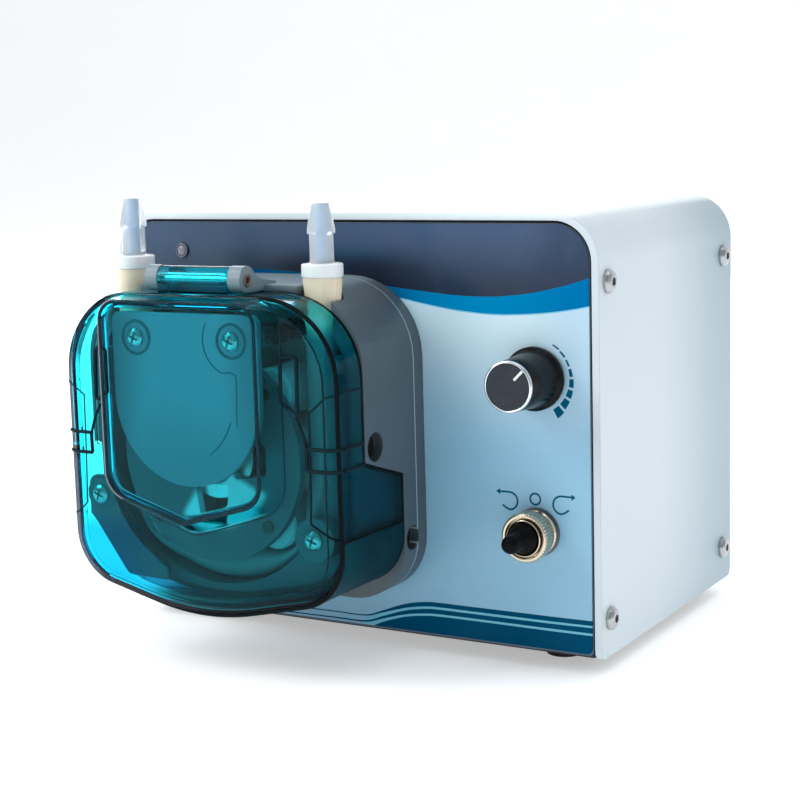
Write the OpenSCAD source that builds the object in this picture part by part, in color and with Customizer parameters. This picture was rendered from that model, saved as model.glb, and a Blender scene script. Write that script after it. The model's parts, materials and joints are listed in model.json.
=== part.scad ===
// Bench peristaltic pump: a sheet metal drive unit with a flip-cover, four-roller pump head.
// Millimetres, +Z up. X runs along the front panel, -Y points out of the front.

/* [Drive unit] */
// Width of the sheet metal wrap
body_w = 183.3; // [176:0.1:196]
// Height of the wrap above its bottom edge
body_h = 140; // [136:0.5:150]
// Depth of the wrap, front edge to rear edge
body_d = 117.8; // [112:0.1:130]
// Sheet thickness of the wrap
wall_t = 2.4; // [2:0.1:2.6]
// Bend radius of the wrap's two top edges
bend_r = 15; // [10:0.5:18]
// Height of the rubber feet
foot_h = 5; // [4:0.5:6]

/* [Controls] */
// Speed knob centre, across from the middle of the panel
knob_x = 70.05; // [66:0.05:72]
// Speed knob centre, above the wrap's bottom edge
knob_z = 88.7; // [80:0.1:95]
// Diameter of the knob's skirt
knob_d = 20.2; // [19:0.1:22]
// Direction toggle centre, across from the middle of the panel
toggle_x = 69.5; // [66:0.05:72]
// Direction toggle centre, above the wrap's bottom edge
toggle_z = 39.6; // [34:0.1:48]

/* [Pump head] */
// Pump head centre, across from the middle of the panel
head_x = -23.85; // [-28:0.05:-18]
// Rotor axis above the wrap's bottom edge
rotor_z = 65; // [64:0.1:66]
// Outside diameter of the free pump tube
tube_od = 11.2; // [10.6:0.1:11.4]
// Wall of the pump tube
tube_wall = 2.4; // [2:0.1:2.5]
// Radius of each roller
roller_r = 8; // [7.6:0.1:8]
// Wall of the transparent cover
cover_t = 2; // [1.8:0.1:2.2]

/* [Hidden] */
$fn = 64;

// rear-most and front-most planes before the part is centred on its own box
y_front = -60;
y_rear = body_d + 3.2;
y_mid = (y_front + y_rear) / 2;
panel_y = 2.9;                     // back face of the front panel
rear_y = body_d - 2.8;             // front face of the rear panel
pitch_r = 36.5;                    // tube centre line about the rotor axis
track_r = pitch_r + 5.6;           // inner radius of the occlusion bed
orbit_r = 29.8;                    // roller pins about the rotor axis
tube_y = -31;                      // plane of the tube and the rollers
hinge_y = -45.8;
hinge_z = 121.7;
end_left = 123.6;                  // top end of the tube's left leg
end_right = 122;                   // top end of the tube's right leg
toggle_y = -8;                     // pivot of the toggle
rocker_tilt = 7;
inlet_x = -45; inlet_z = 34;
rocker_x = -5;
fuse_x = 24;

// ---------- geometry helpers ----------
function unit(v) = v / norm(v);
function xy(v) = [v[0], v[1]];
function corner(p, q, s, r, n) =
    let (a = unit(p - q), b = unit(s - q), th = acos(a * b), t = r / tan(th / 2),
         c = q + unit(a + b) * (r / sin(th / 2)),
         a0 = atan2((q + a * t - c)[1], (q + a * t - c)[0]),
         a1 = atan2((q + b * t - c)[1], (q + b * t - c)[0]),
         d = ((a1 - a0 + 540) % 360) - 180)
    [for (i = [0:n]) c + r * [cos(a0 + d * i / n), sin(a0 + d * i / n)]];
// a closed outline from corner points [x, z, radius]
function rpoly(v, n = 10) = let (k = len(v))
    [for (i = [0:k - 1]) each (v[i][2] <= 0 ? [xy(v[i])] :
        corner(xy(v[(i + k - 1) % k]), xy(v[i]), xy(v[(i + 1) % k]), v[i][2], n))];
// the same corners moved inwards by t
function inset(v, t) = let (k = len(v))
    [for (i = [0:k - 1]) let (q = xy(v[i]), a = unit(xy(v[(i + k - 1) % k]) - q),
        b = unit(xy(v[(i + 1) % k]) - q), th = acos(a * b), m = q + unit(a + b) * (t / sin(th / 2)))
        [m[0], m[1], max(v[i][2] - t, 0.3)]];
function arc(cx, cz, r, a0, a1, n) =
    [for (i = [0:n]) [cx + r * cos(a0 + (a1 - a0) * i / n), cz + r * sin(a0 + (a1 - a0) * i / n)]];

module prism_y(pts, y0, y1) translate([0, y1, 0]) rotate([90, 0, 0]) linear_extrude(y1 - y0) polygon(pts);
module prism_x(pts, x0, x1) translate([x0, 0, 0]) rotate([90, 0, 90]) linear_extrude(x1 - x0) polygon(pts);
module cyl_y(r, y0, y1, x = 0, z = 0) translate([x, y1, z]) rotate([90, 0, 0]) cylinder(r = r, h = y1 - y0);
module cyl_x(r, x0, x1, y = 0, z = 0) translate([x0, y, z]) rotate([0, 90, 0]) cylinder(r = r, h = x1 - x0);
module box(x0, x1, y0, y1, z0, z1) translate([x0, y0, z0]) cube([x1 - x0, y1 - y0, z1 - z0]);
// a solid of revolution about the -Y direction: profile points are [radius, distance out of the panel]
module spin_y(pts) rotate([90, 0, 0]) rotate_extrude() polygon(pts);
module hex_y(r, y0, y1, x = 0, z = 0) translate([x, y1, z]) rotate([90, 0, 0]) cylinder(r = r, h = y1 - y0, $fn = 6);

module place() translate([0, -y_mid, foot_h]) children();
module at_head() place() translate([head_x, 0, 0]) children();
module at_rotor() at_head() translate([0, 0, rotor_z]) children();

// outlines, looking at the front
wrap_v = [[-body_w / 2, 0, 0.6], [body_w / 2, 0, 0.6], [body_w / 2, body_h, bend_r], [-body_w / 2, body_h, bend_r]];
wrap_in = [[-body_w / 2 + wall_t, -5, 0.3], [body_w / 2 - wall_t, -5, 0.3],
    [body_w / 2 - wall_t, body_h - wall_t, bend_r - wall_t], [-body_w / 2 + wall_t, body_h - wall_t, bend_r - wall_t]];
function frame_v(t, b) = [[-body_w / 2 + t, b, 2], [body_w / 2 - t, b, 2],
    [body_w / 2 - t, body_h - t, bend_r - t], [-body_w / 2 + t, body_h - t, bend_r - t]];
base_v = [[-53.4, 15, 20], [53.4, 15, 20], [53.4, 119.6, 25.5], [-53.4, 119.6, 25.5]];
cover_v = [[-52, 24.5, 18], [0, 12.5, 90], [52, 24.5, 18], [52, 117.5, 26], [-52, 117.5, 26]];
boss_v = [[-31, 54, 10], [0, 43.5, 3], [31, 54, 10], [31, 116, 6], [-31, 116, 6]];

side_y = [6.6, body_d - 9.1];
side_z = [12.6, body_h - 21.3];
foot_x = body_w / 2 - 22;
rear_x = body_w / 2 - 7.2;
foot_y = [20, body_d - 20];

// ---------- drive unit ----------
module housing_shell() color([0.93, 0.95, 0.96]) place() difference() {
    intersection() {
        difference() {
            prism_y(rpoly(wrap_v, 12), 0, body_d);
            prism_y(rpoly(wrap_in, 12), -1, body_d + 1);
        }
        prism_x(rpoly([[0, 0, 3.5], [body_d, 0, 3.5], [body_d, body_h + 2, 0], [0, body_h + 2, 0]], 6), -body_w, body_w);
    }
    for (y = side_y, z = side_z) cyl_x(2.2, -body_w, body_w, y, z);
}

module chassis_frame() color([0.09, 0.09, 0.1]) place() difference() {
    prism_y(rpoly(frame_v(wall_t + 0.05, 0), 12), panel_y, rear_y);
    prism_y(rpoly(frame_v(wall_t + 1.45, 1.4), 12), panel_y + 1.3, rear_y - 1.3);
    prism_y(rpoly(frame_v(wall_t + 8, 8), 12), 0, body_d);
    for (y = side_y, z = side_z) cyl_x(2, -body_w, body_w, y, z);
    for (s = [-1, 1], z = [14, body_h - 10]) cyl_y(1.65, 110, 120, s * rear_x, z);
    for (s = [-1, 1], y = foot_y) translate([s * foot_x, y, -1]) cylinder(r = 1.9, h = 4);
    for (i = [0:6]) box(18 + i * 7, 21 + i * 7, 96, 106, -1, 3);
    for (i = [0:6]) box(-63 + i * 7, -60 + i * 7, 78, 106, -1, 3);
}

module front_panel() color([0.7, 0.72, 0.74]) place() difference() {
    prism_y(rpoly(frame_v(wall_t + 0.8, 1.07), 12), 0.9, panel_y);
    cyl_y(4.6, -1, 5, knob_x, knob_z);
    cyl_y(6.1, -1, 5, toggle_x, toggle_z);
    cyl_y(2.6, -1, 5, -64.45, 126.9);
    translate([head_x, 0, rotor_z]) {
        cyl_y(19.1, -1, 5);
        for (a = [-1, 1], b = [-1, 1]) cyl_y(2.6, -1, 5, a * 23.57, b * 23.57);
    }
}

module front_overlay() color([0.72, 0.85, 0.92]) place() difference() {
    prism_y(rpoly(frame_v(wall_t + 1.15, 1.7), 12), 0.6, 0.9);
    cyl_y(4.6, -1, 5, knob_x, knob_z);
    cyl_y(6.1, -1, 5, toggle_x, toggle_z);
    cyl_y(2.6, -1, 5, -64.45, 126.9);
    translate([head_x, 0, rotor_z]) {
        cyl_y(19.5, -1, 5);
        for (a = [-1, 1], b = [-1, 1]) cyl_y(2.6, -1, 5, a * 23.57, b * 23.57);
    }
}

module rear_panel() color([0.88, 0.9, 0.91]) place() difference() {
    prism_y(rpoly(frame_v(wall_t + 0.8, 1.07), 12), rear_y, rear_y + 1.8);
    translate([inlet_x, 0, inlet_z]) {
        box(-13.7, 13.7, 100, 130, -9.9, 9.9);
        for (s = [-1, 1]) cyl_y(1.7, 100, 130, s * 20);
    }
    translate([rocker_x, 0, inlet_z]) box(-6.6, 6.6, 100, 130, -9.7, 9.7);
    cyl_y(6.1, 100, 130, fuse_x, inlet_z);
    for (i = [0:9], k = [0, 1]) box(-74 + i * 6, -71.2 + i * 6, 100, 130, 76 + k * 26, 98 + k * 26);
    for (i = [0:9], k = [0, 1]) box(16 + i * 6, 18.8 + i * 6, 100, 130, 76 + k * 26, 98 + k * 26);
    for (s = [-1, 1], z = [14, body_h - 10]) cyl_y(1.7, 100, 130, s * rear_x, z);
}

// pan head screws, heads outside the wrap
module side_screws() color([0.66, 0.67, 0.68]) place()
    for (s = [0, 1]) mirror([s, 0, 0]) for (y = side_y, z = side_z) difference() {
        translate([body_w / 2, y, z]) rotate([0, 90, 0]) rotate_extrude()
            polygon([[0, -8], [1.9, -8], [1.9, 0], [3.75, 0], [3.75, 0.9], [3.3, 1.6], [2.5, 2.05], [1.8, 2.2], [0, 2.2]]);
        translate([body_w / 2 + 0.9, y, z]) rotate([0, 90, 0]) cylinder(r = 1.45, h = 3, $fn = 6);
    }

module rear_screws() color([0.66, 0.67, 0.68]) place()
    for (s = [-1, 1], z = [14, body_h - 10]) translate([s * rear_x, rear_y + 1.8, z]) difference() {
        mirror([0, 1, 0]) spin_y([[0, -5], [1.6, -5], [1.6, 0], [3, 0], [3, 1], [2.2, 1.7], [0, 1.8]]);
        for (a = [0, 90]) rotate([0, a, 0]) box(-1.9, 1.9, 1, 3, -0.35, 0.35);
    }

module rubber_feet() color([0.05, 0.05, 0.05]) place()
    for (s = [-1, 1], y = foot_y) translate([s * foot_x, y, 0]) rotate_extrude()
        polygon([[1.9, 0], [6.6, 0], [6.6, -foot_h + 1], [5.9, -foot_h], [3.8, -foot_h], [3.8, -foot_h + 2.6], [1.9, -foot_h + 2.6]]);

module foot_screws() color([0.6, 0.6, 0.62]) place()
    for (s = [-1, 1], y = foot_y) translate([s * foot_x, y, -foot_h + 2.6]) difference() {
        rotate_extrude() polygon([[0, -1.7], [2.6, -1.7], [3.3, -1], [3.3, 0], [1.8, 0], [1.8, 7], [0, 7]]);
        for (a = [0, 90]) rotate([0, 0, a]) box(-2, 2, -0.35, 0.35, -2, -0.8);
    }

module led_bezel() color([0.5, 0.52, 0.55]) place() translate([-64.45, 0, 126.9])
    spin_y([[1.95, -4], [2.55, -4], [2.55, -0.6], [2.55, 0], [2.35, 0.2], [1.95, 0.2]]);

module led_lens() color([0.6, 0.63, 0.66]) place() translate([-64.45, 0, 126.9])
    spin_y([[0, -6], [1.9, -6], [1.9, -0.1], [1.5, 0.25], [0.8, 0.45], [0, 0.5]]);

// ---------- controls ----------
module potentiometer() color([0.55, 0.57, 0.6]) place() translate([knob_x, 0, knob_z]) difference() {
    union() {
        cyl_y(10.9, panel_y, 14.9);
        cyl_y(4.5, -5, panel_y);
        box(-8, 8, 6, 9, -18, -8);
    }
    cyl_y(3.05, -6, 12);
}

module pot_nut() color([0.75, 0.76, 0.78]) place() translate([knob_x, 0, knob_z]) difference() {
    hex_y(7, -1.7, 0.55);
    cyl_y(4.55, -3, 2);
}

module knob_shaft() color([0.75, 0.76, 0.78]) place() translate([knob_x, 0, knob_z]) cyl_y(3, -14, 11);

module knob_body() color([0.05, 0.05, 0.06]) place() translate([knob_x, 0, knob_z]) difference() {
    spin_y([[3, -0.1], [8, -0.1], [knob_d / 2 - 0.5, -0.1], [knob_d / 2, 0.4], [knob_d / 2, 2.4], [knob_d / 2 - 0.8, 3.4],
        [8.75, 4.2], [8.25, 12], [7.95, 18.5], [7.2, 18.5], [7.2, 19.6], [0, 19.6], [0, 14], [3, 14]]);
    cyl_y(8, -5.4, 2);
}

module knob_ring() color([0.85, 0.86, 0.88]) place() translate([knob_x, 0, knob_z])
    spin_y([[7.25, 18.55], [7.95, 18.55], [7.95, 19.5], [7.6, 19.9], [7.25, 19.9]]);

module knob_pointer() color([0.95, 0.95, 0.95]) place() translate([knob_x, 0, knob_z])
    rotate([0, 45, 0]) box(-0.4, 0.4, -19.85, -19.6, 3, 7.15);

module toggle_body() color([0.2, 0.2, 0.22]) place() translate([toggle_x, 0, toggle_z]) difference() {
    union() {
        box(-6.5, 6.5, panel_y, 24, -11, 11);
        for (k = [-7, 0, 7]) box(-2.2, 2.2, 24, 31, k - 0.4, k + 0.4);
    }
    cyl_y(4.5, -6, 6);
}

// the threaded sleeve the nut clamps, open at the front for the boot's ball
module toggle_bushing() color([0.82, 0.79, 0.74]) place() translate([toggle_x, 0, toggle_z])
    spin_y([[4.5, -panel_y], [5.95, -panel_y], [5.95, 9.6], [5.75, 9.8], [5.4, 9.8], [5.4, 2.2], [4.5, 2.2]]);

module toggle_washer() color([0.8, 0.8, 0.82]) place() translate([toggle_x, 0, toggle_z]) difference() {
    cyl_y(7.9, -0.3, 0.55);
    cyl_y(6.1, -2, 2);
}

module toggle_nut() color([0.78, 0.74, 0.68]) place() translate([toggle_x, 0, toggle_z])
    spin_y([[6.05, 0.35], [7.4, 0.35], [7.4, 1.4], [6.9, 1.8], [6.9, 2.6], [7.7, 3.2], [8, 4.2], [8, 8.4], [7.7, 9], [7.3, 9.3], [6.5, 9.3], [6.5, 6.5], [6.05, 6.5]]);

module toggle_lever() color([0.8, 0.8, 0.82]) place() translate([toggle_x, 0, toggle_z]) {
    spin_y([[0, 0], [1.6, 0], [1.6, 17.5], [1.2, 18], [0, 18]]);
    translate([0, toggle_y, -4]) cylinder(r = 0.9, h = 8);
}

module toggle_boot() color([0.04, 0.04, 0.04]) place() translate([toggle_x, 0, toggle_z]) difference() {
    union() {
        translate([0, toggle_y, 0]) sphere(r = 5.25);
        spin_y([[0, 8.5], [4, 11.2], [3.35, 12.6], [2.95, 14.2], [2.95, 18.2], [2.75, 19.2], [2.2, 20.05], [1.2, 20.45], [0, 20.5]]);
    }
    spin_y([[0, 0], [1.65, 0], [1.65, 17.6], [1.25, 18.05], [0, 18.05]]);
    translate([0, toggle_y, -4.05]) cylinder(r = 0.95, h = 8.1);
}

// ---------- rear fittings ----------
module power_inlet() color([0.06, 0.06, 0.06]) place() translate([inlet_x, rear_y + 1.8, inlet_z]) difference() {
    union() {
        prism_y(rpoly([[-13, -11.2, 3], [13, -11.2, 3], [24.8, -4, 4], [24.8, 4, 4], [13, 11.2, 3], [-13, 11.2, 3], [-24.8, 4, 4], [-24.8, -4, 4]], 5), 0, 2.6);
        box(-13.5, 13.5, -20, 0.1, -9.7, 9.7);
        for (x = [-7, 0, 7]) box(x - 2.4, x + 2.4, -28, -20, -0.4, 0.4);
    }
    prism_y(rpoly([[-12, -8.2, 1], [12, -8.2, 1], [12, 3.5, 0.5], [7.5, 8.2, 0.5], [-7.5, 8.2, 0.5], [-12, 3.5, 0.5]], 3), -15, 5);
    for (s = [-1, 1]) cyl_y(1.7, -5, 5, s * 20);
}

module inlet_pins() color([0.8, 0.8, 0.78]) place() translate([inlet_x, rear_y + 1.8, inlet_z])
    for (p = [[-7, -2.2], [7, -2.2], [0, 2.6]]) box(p[0] - 1, p[0] + 1, -15, -1.2, p[1] - 2, p[1] + 2);

module inlet_screws() color([0.66, 0.67, 0.68]) place()
    for (s = [-1, 1]) translate([inlet_x + s * 20, rear_y + 4.4, inlet_z]) difference() {
        mirror([0, 1, 0]) spin_y([[0, -9], [1.6, -9], [1.6, 0], [2.7, 0], [2.7, 0.8], [2, 1.5], [0, 1.6]]);
        for (a = [0, 90]) rotate([0, a, 0]) box(-1.8, 1.8, 0.8, 3, -0.35, 0.35);
    }

module rocker_frame() color([0.06, 0.06, 0.06]) place() translate([rocker_x, rear_y + 1.8, inlet_z]) difference() {
    union() {
        box(-7.8, 7.8, 0, 1.6, -11, 11);
        box(-6.4, 6.4, -17, 0.1, -9.5, 9.5);
        for (z = [-5, 5]) box(-2.4, 2.4, -24, -17, z - 0.4, z + 0.4);
    }
    box(-5.6, 5.6, -8, 5, -9, 9);
}

module power_rocker() color([0.08, 0.08, 0.08]) place() translate([rocker_x, rear_y - 2, inlet_z])
    rotate([rocker_tilt, 0, 0]) difference() {
        prism_x(rpoly([[-2.6, -4, 0.6], [-2.6, 4, 0.6], [1, 8, 0.6], [5.6, 8, 0.8], [4.5, 0, 30], [5.6, -8, 0.8], [1, -8, 0.6]], 4), -5.3, 5.3);
        cyl_x(1.2, -6, 6, 0, 0);
    }

module fuse_holder() color([0.07, 0.07, 0.07]) place() translate([fuse_x, rear_y + 1.8, inlet_z]) difference() {
    union() {
        mirror([0, 1, 0]) spin_y([[0, -22], [5.2, -22], [5.9, -18], [5.9, 0], [7.6, 0], [7.6, 1.4], [6.2, 1.8], [5.6, 3.4], [5.1, 3.8], [0, 3.8]]);
        box(-2.4, 2.4, -26, -22, -0.4, 0.4);
    }
    box(-4, 4, 2.8, 5, -0.7, 0.7);
}

// ---------- inside ----------
module drive_motor() color([0.13, 0.13, 0.14]) place() translate([head_x, 0, rotor_z]) difference() {
    union() {
        prism_y(rpoly([[-28.2, -28.2, 3], [28.2, -28.2, 3], [28.2, 28.2, 3], [-28.2, 28.2, 3]], 5), panel_y, 11);
        prism_y(rpoly([[-28, -28, 8], [28, -28, 8], [28, 28, 8], [-28, 28, 8]], 5), 11, 62);
        prism_y(rpoly([[-28.2, -28.2, 5], [28.2, -28.2, 5], [28.2, 28.2, 5], [-28.2, 28.2, 5]], 5), 62, 74);
        cyl_y(19.05, 1.2, panel_y);
        box(-8, 8, 60, 73, -33, -28);
    }
    cyl_y(4.05, 0, 16);
    for (a = [-1, 1], b = [-1, 1]) cyl_y(2.5, 0, 10.5, a * 23.57, b * 23.57);
}

module power_supply() color([0.75, 0.76, 0.77]) place() difference() {
    box(15, 64, 36, 90, 1.4, 37);
    for (i = [0:6]) box(19 + i * 6, 22 + i * 6, 40, 86, 36, 38);
    box(20, 59, 88, 91, 6, 24);
}

module board_standoffs() color([0.78, 0.7, 0.45]) place()
    for (y = [24, 96], z = [29, 101]) translate([-body_w / 2 + wall_t + 1.45, y, z]) difference() {
        cyl_x(3, 0, 8);
        cyl_x(1.3, 2, 9);
    }

module control_board() color([0.1, 0.35, 0.2]) place() translate([-body_w / 2 + wall_t + 9.45, 0, 0]) difference() {
    box(0, 1.6, 20, 100, 25, 105);
    for (y = [24, 96], z = [29, 101]) cyl_x(1.6, -1, 3, y, z);
}

module driver_heat_sink() color([0.75, 0.76, 0.78]) place() translate([-body_w / 2 + wall_t + 11.05, 0, 0]) difference() {
    box(0, 14, 34, 62, 60, 96);
    for (i = [0:4]) box(3, 15, 37 + i * 5, 39.4 + i * 5, 59, 97);
}

module terminal_blocks() color([0.15, 0.45, 0.25]) place() translate([-body_w / 2 + wall_t + 11.05, 0, 0])
    for (z = [32, 52]) difference() {
        box(0, 9, 86, 94, z, z + 16);
        for (k = [0:2]) cyl_x(1.6, 4, 10, 90, z + 3 + k * 5);
    }

module board_capacitors() color([0.12, 0.12, 0.2]) place() translate([-body_w / 2 + wall_t + 11.05, 0, 0])
    for (p = [[72, 40], [72, 56], [56, 44]]) cyl_x(5, 0, 14, p[0], p[1]);

// ---------- pump head, fixed parts ----------
module head_base() color([0.55, 0.59, 0.63]) at_head() difference() {
    union() {
        prism_y(rpoly(base_v), -13.6, 0.6);
        intersection() {
            prism_y(rpoly(base_v), -36.6, -13.5);
            prism_x([[-38, 65.95], [-13.5, 58.1], [-13.5, 122], [-38, 122]], -60, 60);
        }
        prism_y(rpoly(inset(cover_v, cover_t + 0.45)), -36.6, -13.5);
        for (s = [0, 1]) mirror([s, 0, 0]) {
            prism_x(concat([for (a = [30:7.5:270]) let (r = a < 122 ? 4.5 : max(4.5 - (a - 122) * 0.02, 3.9))
                    [hinge_y + r * cos(a), hinge_z + r * sin(a)]],
                [[-36.7, hinge_z - 3.9], [-34, 116.5], [-30, 116.5], [-30, 120.2], [-36, 121.2], [-40, 122.4]]), 13.5, 18.4);
        }
    }
    prism_y(rpoly(inset(cover_v, 5.5)), -40, -5.4);
    for (s = [-1, 1]) {
        translate([s * pitch_r, tube_y, 88]) cylinder(r = 6.3, h = 40);
        box(s * pitch_r - 6.3, s * pitch_r + 6.3, -40, tube_y, 88, 128);
    }
    cyl_x(1.55, -30, 30, hinge_y, hinge_z);
    for (s = [0, 1]) mirror([s, 0, 0]) {
        cyl_x(4.6, 50.2, 60, -30.5, 69.5);
        cyl_x(4, 50.2, 60, -8.6, 36);
    }
    translate([0, 0, rotor_z]) {
        cyl_y(11, -10, 2);
        for (a = [-1, 1], b = [-1, 1]) cyl_y(2.5, -10, 2, a * 23.57, b * 23.57);
    }
}

module head_screws() color([0.68, 0.69, 0.7]) at_rotor()
    for (a = [-1, 1], b = [-1, 1]) translate([a * 23.57, -5.4, b * 23.57]) difference() {
        spin_y([[0, -15], [2.4, -15], [2.4, 0], [4.2, 0], [4.2, 1.8], [3.4, 2.7], [0, 2.8]]);
        hex_y(2.3, -4, -1);
    }

module shaft_bearing() color([0.75, 0.76, 0.78]) at_rotor() difference() {
    cyl_y(10.95, -5.4, 0.6);
    cyl_y(4.05, -8, 3);
    difference() { cyl_y(9.6, -6, -4.6); cyl_y(5.6, -7, -4); }
}

module occlusion_track() color([0.2, 0.22, 0.25]) at_head() difference() {
    union() {
        intersection() {
            prism_y(rpoly(inset(cover_v, 5.6)), -40, -22);
            box(-60, 60, -41, -21, 0, 98);
        }
        cyl_y(5.5, -46, -39.9, -43, 50);
        cyl_y(7, -46, -39.9, 40, 42);
    }
    cyl_y(track_r, -40.01, -20, 0, rotor_z);
    box(-track_r, track_r, -40.01, -20, rotor_z, 120);
    cyl_y(1.55, -50, -28, -43, 50);
    cyl_y(1.55, -50, -28, 40, 42);
}

module phillips_screw(head_r, head_h, shank_r, shank_l) difference() {
    spin_y([[0, -shank_l], [shank_r, -shank_l], [shank_r, 0], [head_r, 0], [head_r, head_h * 0.45], [head_r * 0.75, head_h * 0.85], [head_r * 0.4, head_h], [0, head_h]]);
    for (a = [20, 110]) rotate([0, a, 0]) box(-head_r * 0.62, head_r * 0.62, -head_h - 1, -head_h * 0.4, -0.35, 0.35);
}

module track_screws() color([0.72, 0.73, 0.75]) at_head() {
    translate([-43, -46, 50]) phillips_screw(3.1, 1.7, 1.5, 16);
    translate([40, -46, 42]) phillips_screw(3.1, 1.7, 1.5, 16);
}

module guard_plate() color([0.42, 0.47, 0.5]) at_head() difference() {
    prism_y(concat(arc(0, 85, 27.5, 180, 360, 28), arc(24.5, 109, 3, 0, 90, 5), arc(-24.5, 109, 3, 90, 180, 5)), -55, -53);
    for (s = [-1, 1]) cyl_y(1.6, -60, -50, s * 18.2, 104);
}

module guard_standoffs() color([0.6, 0.62, 0.64]) at_head() for (s = [-1, 1]) difference() {
    cyl_y(3.8, -53, -5.4, s * 18.2, 104);
    cyl_y(1.5, -54, -42, s * 18.2, 104);
}

module guard_screws() color([0.72, 0.73, 0.75]) at_head()
    for (s = [-1, 1]) translate([s * 18.2, -55, 104]) phillips_screw(2.9, 1.7, 1.45, 10);

// the tube: two straight legs and a half circle, pinched where a roller presses it
function dent(a) = exp(-pow(min(abs(a - 225), abs(a - 315)) / 17, 2));
function in_r(a) = track_r - tube_od + (orbit_r + roller_r + 0.35 - track_r + tube_od) * dent(a);
// each station: [angle of the outward direction, centre distance along it, height of its centre, half thickness, half width]
function leg(a, z0, z1, n) = [for (i = [0:n - 1]) [a, track_r - 0.05 - tube_od / 2, z0 + (z1 - z0) * i / n, tube_od / 2, tube_od / 2]];
stations = concat(
    leg(180, end_left, rotor_z, 7),
    [for (i = [0:48]) let (a = 180 + i * 3.75, t = (track_r - 0.05 - in_r(a)) / 2)
        [a, (track_r - 0.05 + in_r(a)) / 2, rotor_z, t, sqrt(max(2 * pow(tube_od / 2, 2) - t * t, 1))]],
    [for (i = [0:6]) leg(0, end_right, rotor_z, 7)[6 - i]]);
function ring(s, n, w) = let (h = max(s[3] - w, 0.15), b = max(s[4] - w * (s[4] > tube_od / 2 + 0.2 ? 0.85 : 1), 0.3))
    [for (k = [0:n - 1]) let (q = 360 * k / n, d = s[1] + h * cos(q))
        [d * cos(s[0]), tube_y + b * sin(q), s[2] + d * sin(s[0])]];
module sweep(st, n, w) {
    m = len(st);
    polyhedron(
        points = [for (s = st) each ring(s, n, w)],
        faces = concat(
            [[for (k = [0:n - 1]) k]],
            [for (i = [0:m - 2], k = [0:n - 1]) each
                [[i * n + k, (i + 1) * n + (k + 1) % n, i * n + (k + 1) % n], [i * n + k, (i + 1) * n + k, (i + 1) * n + (k + 1) % n]]],
            [[for (k = [0:n - 1]) (m - 1) * n + n - 1 - k]]));
}
module pump_tube() color([0.9, 0.76, 0.6]) at_head() difference() {
    sweep(stations, 16, 0);
    sweep(concat([[180, pitch_r - 0.05, end_left + 1, tube_od / 2, tube_od / 2]], stations,
        [[0, pitch_r - 0.05, end_right + 1, tube_od / 2, tube_od / 2]]), 10, tube_wall);
}

// a hose barb on a round collar, with a spigot that goes down into the tube
module barb() color([0.82, 0.89, 0.94]) difference() {
    rotate_extrude() polygon([[0, -11], [2.6, -11], [2.95, -10.2], [2.95, 0], [6.8, 0], [6.8, 3.6], [6.4, 4.1], [4.2, 4.3],
        [3.8, 4.8], [3.8, 13.2], [4.45, 13.4], [4.45, 14.7], [3.7, 18.4], [2.9, 21.6], [2.6, 22.8], [0, 22.8]]);
    translate([0, 0, -12]) cylinder(r = 1.6, h = 36);
}
module barb_fitting_left() at_head() translate([-pitch_r, tube_y, end_left]) barb();
module barb_fitting_right() at_head() translate([pitch_r, tube_y, end_right]) barb();

module hinge_pin() color([0.7, 0.6, 0.35]) at_head() cyl_x(1.5, -18.8, 18.8, hinge_y, hinge_z);

// ---------- pump head, cover ----------
module head_cover() color([0.05, 0.55, 0.6, 0.55]) at_head() difference() {
    union() {
        prism_y(rpoly(cover_v), -53, -37);
        intersection() {
            prism_y(rpoly(cover_v), -37.1, -14);
            prism_x([[-37.2, 64.86], [-14, 57.5], [-14, 0], [-37.2, 0]], -60, 60);
        }
        prism_y(rpoly(boss_v), -60, -52.9);
        intersection() {
            prism_y(rpoly(inset(cover_v, -0.7)), -53.7, -37);
            union() for (z = [65.2, 71.8], s = [-1, 1]) box(s > 0 ? 41 : -60, s > 0 ? 60 : -41, -54, -37, z - 0.8, z + 0.8);
        }
        cyl_x(4.3, -13.2, 13.2, hinge_y, hinge_z);
        prism_x([[-49.8, 116], [-41.8, 116], [-41.8, 119.5], [-42, 121.7], [-49.6, 121.7]], -13.2, 13.2);
    }
    intersection() {
        prism_y(rpoly(inset(cover_v, cover_t)), -51, -10);
        box(-60, 60, -60, 0, 0, 200);
    }
    prism_y(rpoly(inset(boss_v, 1.8)), -58.2, -50.9);
    cyl_x(1.55, -20, 20, hinge_y, hinge_z);
}

// ---------- rotor ----------
module drive_shaft() color([0.8, 0.81, 0.83]) at_rotor() difference() {
    cyl_y(4, -43.1, 15);
    cyl_y(1.55, -44, -30);
}
module rotor_disc(y0, y1) difference() {
    cyl_y(34, y0, y1);
    cyl_y(4.05, y0 - 1, y1 + 1);
    for (a = [45:90:315]) rotate([0, a, 0]) cyl_y(2.05, y0 - 1, y1 + 1, orbit_r, 0);
}
module rotor_front_disc() color([0.2, 0.22, 0.25]) at_rotor() difference() {
    rotor_disc(-43.1, -40.1);
    for (a = [0:90:270]) rotate([0, a, 0])
        prism_y(rpoly([[-6.8, -8.8, 1], [6.8, -8.8, 1], [4.8, -20.5, 1.5], [-4.8, -20.5, 1.5]], 5), -44, -39);
}
module rotor_rear_disc() color([0.78, 0.8, 0.82]) at_rotor() difference() {
    rotor_disc(-21.9, -18.9);
    for (a = [0:90:270]) rotate([0, a, 0]) cyl_y(4, -23, -18, 21, 0);
}
module rotor_hub() color([0.7, 0.72, 0.74]) at_rotor() difference() {
    cyl_y(14, -40.1, -21.9);
    cyl_y(4.05, -42, -20);
}
module roller_pins() color([0.85, 0.86, 0.88]) at_rotor()
    for (a = [45:90:315]) rotate([0, a, 0]) cyl_y(2, -43.6, -18.4, orbit_r, 0);
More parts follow.
